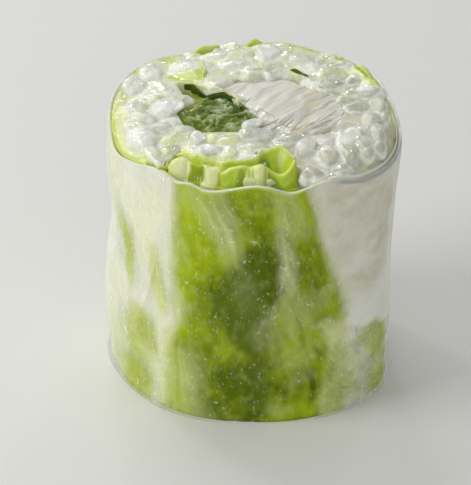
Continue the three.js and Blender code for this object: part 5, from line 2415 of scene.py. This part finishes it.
    def _cut(self, core: Piece, ring: Array) -> None:
        """Takes the room of one filling out of the core.

        Args:
            core: The part to cut.
            ring: The room's outline, (count, 2).
        """
        draft = Draft()
        levels = np.stack([self.shape.lift(ring, np.full(len(ring), z)) for z in (-2.0, 55.0)])
        none = np.zeros(levels.shape[:2])
        draft.add_column(levels, {"chalk": none, "tint": none + 1})
        cutter = draft.finish("room", core.data.materials[0])
        cut = core.modifiers.new("room", "BOOLEAN")
        cut.operation = "DIFFERENCE"
        cut.solver = "EXACT"
        cut.object = cutter
        settle(core)
        bpy.data.objects.remove(cutter)


@dataclass(frozen=True)
class GrainTree:
    """Geometry Nodes that set one smooth grain on each carried point and make them all real."""

    segments: int = 12
    rings: int = 10
    bend: float = 0.2
    uneven: float = 0.75
    cut: float = 46.85
    cut_slope: float = 0.052
    cut_waver: float = 1.8
    seed: int = 3

    def _inputs(self, material: Material) -> tuple[tuple[str, str, object], ...]:
        """Lists what the tree is given besides its geometry.

        Args:
            material: The grains' finish.

        Returns:
            Name, kind and value of each input.
        """
        return (
            ("Segments", "Int", self.segments),
            ("Rings", "Int", self.rings),
            ("Bend", "Float", self.bend),
            ("Uneven", "Float", self.uneven * MM),
            ("Cut", "Float", self.cut * MM),
            ("Slope", "Float", self.cut_slope),
            ("Waver", "Float", self.cut_waver * MM),
            ("Material", "Material", material),
        )

    def grow(self, grains: Sequence[Grain], shape: RollShape, material: Material) -> Piece:
        """Turns a list of grains into one plain mesh.

        Args:
            grains: The grains.
            shape: The roll, for the place of its middle.
            material: The grains' finish.

        Returns:
            The piece with all grains in its mesh.
        """
        mesh = bpy.data.meshes.new("rice_grains")
        places = np.array([(g.x + shape.middle[0], g.y + shape.middle[1], g.z) for g in grains])
        mesh.from_pydata((places * MM).tolist(), [], [])
        roll = np.random.default_rng(self.seed).uniform(-0.5, 0.5, len(grains))
        turns = np.array([(r, -math.radians(g.pitch), math.radians(g.heading)) for g, r in zip(grains, roll)])
        set_values(mesh, "turn", turns)
        set_values(mesh, "size", np.array([(g.length, g.width, g.height) for g in grains]) * MM)
        set_values(mesh, "chalk", np.array([g.chalk for g in grains]))
        set_values(mesh, "tint", np.array([g.tint for g in grains]))
        set_values(mesh, "warm", np.full(len(grains), 0.5))
        piece = stand("rice_grains", mesh)
        modifier = piece.modifiers.new("grains", "NODES")
        inputs = self._inputs(material)
        modifier.node_group = self._tree([(name, kind) for name, kind, _ in inputs])
        values = {name: value for name, _, value in inputs}
        for item in modifier.node_group.interface.items_tree:
            if item.item_type == "SOCKET" and item.in_out == "INPUT" and item.name in values:
                modifier[item.identifier] = values[item.name]
        settle(piece)
        return piece

    @staticmethod
    def _tree(inputs: Sequence[tuple[str, str]]) -> bpy.types.GeometryNodeTree:
        """Builds the tree.

        Args:
            inputs: Name and kind of each input besides the geometry.

        Returns:
            The tree.
        """
        tree = bpy.data.node_groups.new("cooked_grains", "GeometryNodeTree")
        for name, kind in (("Geometry", "Geometry"), *inputs):
            tree.interface.new_socket(name, in_out="INPUT", socket_type=f"NodeSocket{kind}")
        tree.interface.new_socket("Geometry", in_out="OUTPUT", socket_type="NodeSocketGeometry")
        nodes = NodeWriter(tree)
        given = nodes.add("NodeGroupInput")
        parts = {"Segments": given["Segments"], "Rings": given["Rings"], "Radius": 0.5}
        ball = nodes.first("GeometryNodeMeshUVSphere", **parts)
        lying = nodes.first("GeometryNodeTransform", Geometry=ball, Rotation=(0, math.pi / 2, 0))
        spot = nodes.first("GeometryNodeInputPosition")
        own = nodes.add("ShaderNodeSeparateXYZ", None, {"Vector": spot})
        x, blunt = own["X"], 0.9 * own["X"] * own["X"]
        arch = given["Bend"] * (0.25 - 4 * x * x)
        lift = nodes.first("ShaderNodeCombineXYZ", Y=own["Y"] * blunt, Z=arch + own["Z"] * blunt)
        bent = nodes.first("GeometryNodeSetPosition", Geometry=lying, Offset=lift)
        vector = {"data_type": "FLOAT_VECTOR"}
        turn, size = (
            nodes.add("GeometryNodeInputNamedAttribute", vector, {"Name": name})["Attribute"]
            for name in ("turn", "size")
        )
        placed = nodes.first(
            "GeometryNodeInstanceOnPoints",
            Points=given["Geometry"],
            Instance=bent,
            Rotation=nodes.first("FunctionNodeEulerToRotation", Euler=turn),
            Scale=size,
        )
        real = nodes.first("GeometryNodeRealizeInstances", Geometry=placed)
        wobble = nodes.first("ShaderNodeTexNoise", Scale=430.0, Detail=2.0)
        push = nodes.add(
            "ShaderNodeVectorMath",
            {"operation": "SCALE"},
            {"Vector": nodes.first("GeometryNodeInputNormal"), "Scale": (wobble - 0.5) * given["Uneven"] * 2},
        )["Vector"]
        uneven = nodes.first("GeometryNodeSetPosition", Geometry=real, Offset=push)
        where = nodes.add("ShaderNodeSeparateXYZ", None, {"Vector": spot})
        wave = nodes.first("ShaderNodeTexNoise", Scale=330.0, Detail=0.0)
        level = given["Cut"] + where["Y"] * given["Slope"] + (wave - 0.5) * given["Waver"]
        drop = nodes.first("ShaderNodeCombineXYZ", Z=(where["Z"] - level).at_least(0.0) * -0.8)
        sliced = nodes.first("GeometryNodeSetPosition", Geometry=uneven, Offset=drop)
        smooth = nodes.first("GeometryNodeSetShadeSmooth", Geometry=sliced)
        dressed = nodes.first("GeometryNodeSetMaterial", Geometry=smooth, Material=given["Material"])
        nodes.add("NodeGroupOutput", None, {"Geometry": dressed})
        return tree


# Studio


@dataclass(frozen=True)
class Studio:
    """Pale floor, soft lights and the camera."""

    target: Place = (-2.54, -0.29, 21.55)
    elevation: float = 29.5
    distance: float = 600.0
    lens: float = 258.3
    floor_size: float = 3.0
    key_power: float = 1.15
    fill_power: float = 0.55
    back_power: float = 0.75
    spark_power: float = 0.08
    sparks: tuple[Place, ...] = ((-0.16, 0.2, 0.5), (-0.06, 0.45, 0.3), (0.14, 0.4, 0.36), (-0.3, 0.34, 0.34))
    sky: float = 0.42

    def build(self) -> None:
        """Sets the whole studio up."""
        self._floor()
        self._camera()
        self._light("key", (-0.40, -0.12, 0.30), 0.28, self.key_power, (1.0, 0.99, 0.96))
        self._light("back", (-0.20, 0.45, 0.42), 0.35, self.back_power, (1.0, 1.0, 0.98))
        self._light("fill", (0.10, -0.60, 0.22), 0.5, self.fill_power, (0.98, 0.99, 1.0))
        for index, place in enumerate(self.sparks):
            self._light(f"spark_{index}", place, 0.035, self.spark_power, WHITE[:3])
        world = bpy.data.worlds.new("studio")
        world.use_nodes = True
        world.node_tree.nodes["Background"].inputs["Color"].default_value = (0.97, 0.98, 0.98, 1.0)
        world.node_tree.nodes["Background"].inputs["Strength"].default_value = self.sky
        bpy.context.scene.world = world
        bpy.context.scene.view_settings.view_transform = "Standard"

    def _floor(self) -> None:
        """Lays the floor."""
        half = self.floor_size / 2
        mesh = bpy.data.meshes.new("floor")
        corners = [(-half, -half, 0), (half, -half, 0), (half, half, 0), (-half, half, 0)]
        mesh.from_pydata(corners, [], [(0, 1, 2, 3)])
        mesh.materials.append(FloorFinish().material())
        stand("floor", mesh)

    def _camera(self) -> None:
        """Looks at the slice from the front and above."""
        camera = stand("camera", bpy.data.cameras.new("camera"))
        camera.data.lens = self.lens
        camera.data.clip_end = FAR
        tilt = math.radians(self.elevation)
        back = Vector((0, -math.cos(tilt), math.sin(tilt)))
        camera.location = (Vector(self.target) + back * self.distance) * MM
        camera.rotation_euler = (-back).to_track_quat("-Z", "Y").to_euler()
        bpy.context.scene.camera = camera

    def _light(self, name: str, place: Place, size: float, power: float, tone: Place) -> None:
        """Hangs one square soft light that looks at the slice.

        Args:
            name: Its name.
            place: Where it hangs, in metres.
            size: Its side, in metres.
            power: Its power, in watts.
            tone: Its red, green and blue.
        """
        data = bpy.data.lights.new(name, "AREA")
        data.size = size
        data.energy = power
        data.color = tone
        lamp = stand(name, data)
        lamp.location = place
        lamp.rotation_euler = (Vector(self.target) * MM - Vector(place)).to_track_quat("-Z", "Y").to_euler()


# The slice


def standing_leaves(shape: RollShape) -> tuple[StandingLeaf, ...]:
    """Sets up the three leaves that stand between the fillings.

    Args:
        shape: The roll's form.

    Returns:
        The leaves.
    """
    dark = table("-13.8 10.2, -10.4 10.3, -7 7.6, -3.6 5.9, -0.6 2.4")
    back = table("5.6 15.8, 8 13.9, 10.4 12.4")
    shred = table("-10.2 18.2, -8.6 16, -7.8 13.4, -8 11.3")
    herb, lettuce = Slot.HERBS, Slot.LETTUCE
    return (
        StandingLeaf(shape, "herb_leaf_dark_blade", "herb_leaf_dark", herb, dark, 0.66, 47.5, notch=1.3),
        StandingLeaf(shape, "herb_leaf_back_blade", "herb_leaf_back", herb, back, 0.9, 48.0),
        StandingLeaf(shape, "lettuce_shred_curl", "lettuce_shred", lettuce, shred, 1.0, 49.0, 0.6),
    )


def main() -> None:
    """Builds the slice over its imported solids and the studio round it."""
    logging.basicConfig(level=logging.INFO, format="%(name)s %(message)s")
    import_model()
    shape = RollShape().set_on(*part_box("rice_paper"))
    log.info("middle of the roll at %.3f, %.3f mm", *shape.middle)
    leaves = standing_leaves(shape)
    flesh = PaleFilling(shape)
    thin_rooms = tuple(leaf.room(LEAF_ROOM) for leaf in leaves)
    holes = (PALE_PLUG.ring(90, PLUG_ROOM), HERB_PLUG.ring(80, PLUG_ROOM), *thin_rooms)
    kept_clear = (
        (spline(flesh.face, True, 90)[0], CLEAR_OF_FLESH),
        (HERB_PLUG.ring(80), CLEAR_OF_HERBS),
        *((ring, CLEAR_OF_LEAVES) for ring in thin_rooms),
    )
    PaperSkin(shape).build(PaperFinish())
    wrap = LettuceWrap(shape)
    wrap.build(FRESH_LETTUCE)
    LettuceFrill(shape).build(FRILL_LETTUCE)
    for leaf in leaves:
        leaf.build(FRILL_LETTUCE if leaf.slot is Slot.LETTUCE else DARK_HERB)
    flesh.build(FillingFinish())
    HerbBundle(shape).build(WET_HERB)
    PackedRice(shape, wrap, holes, kept_clear).build(RiceFinish())
    Studio().build()


if __name__ == "__main__":
    main()
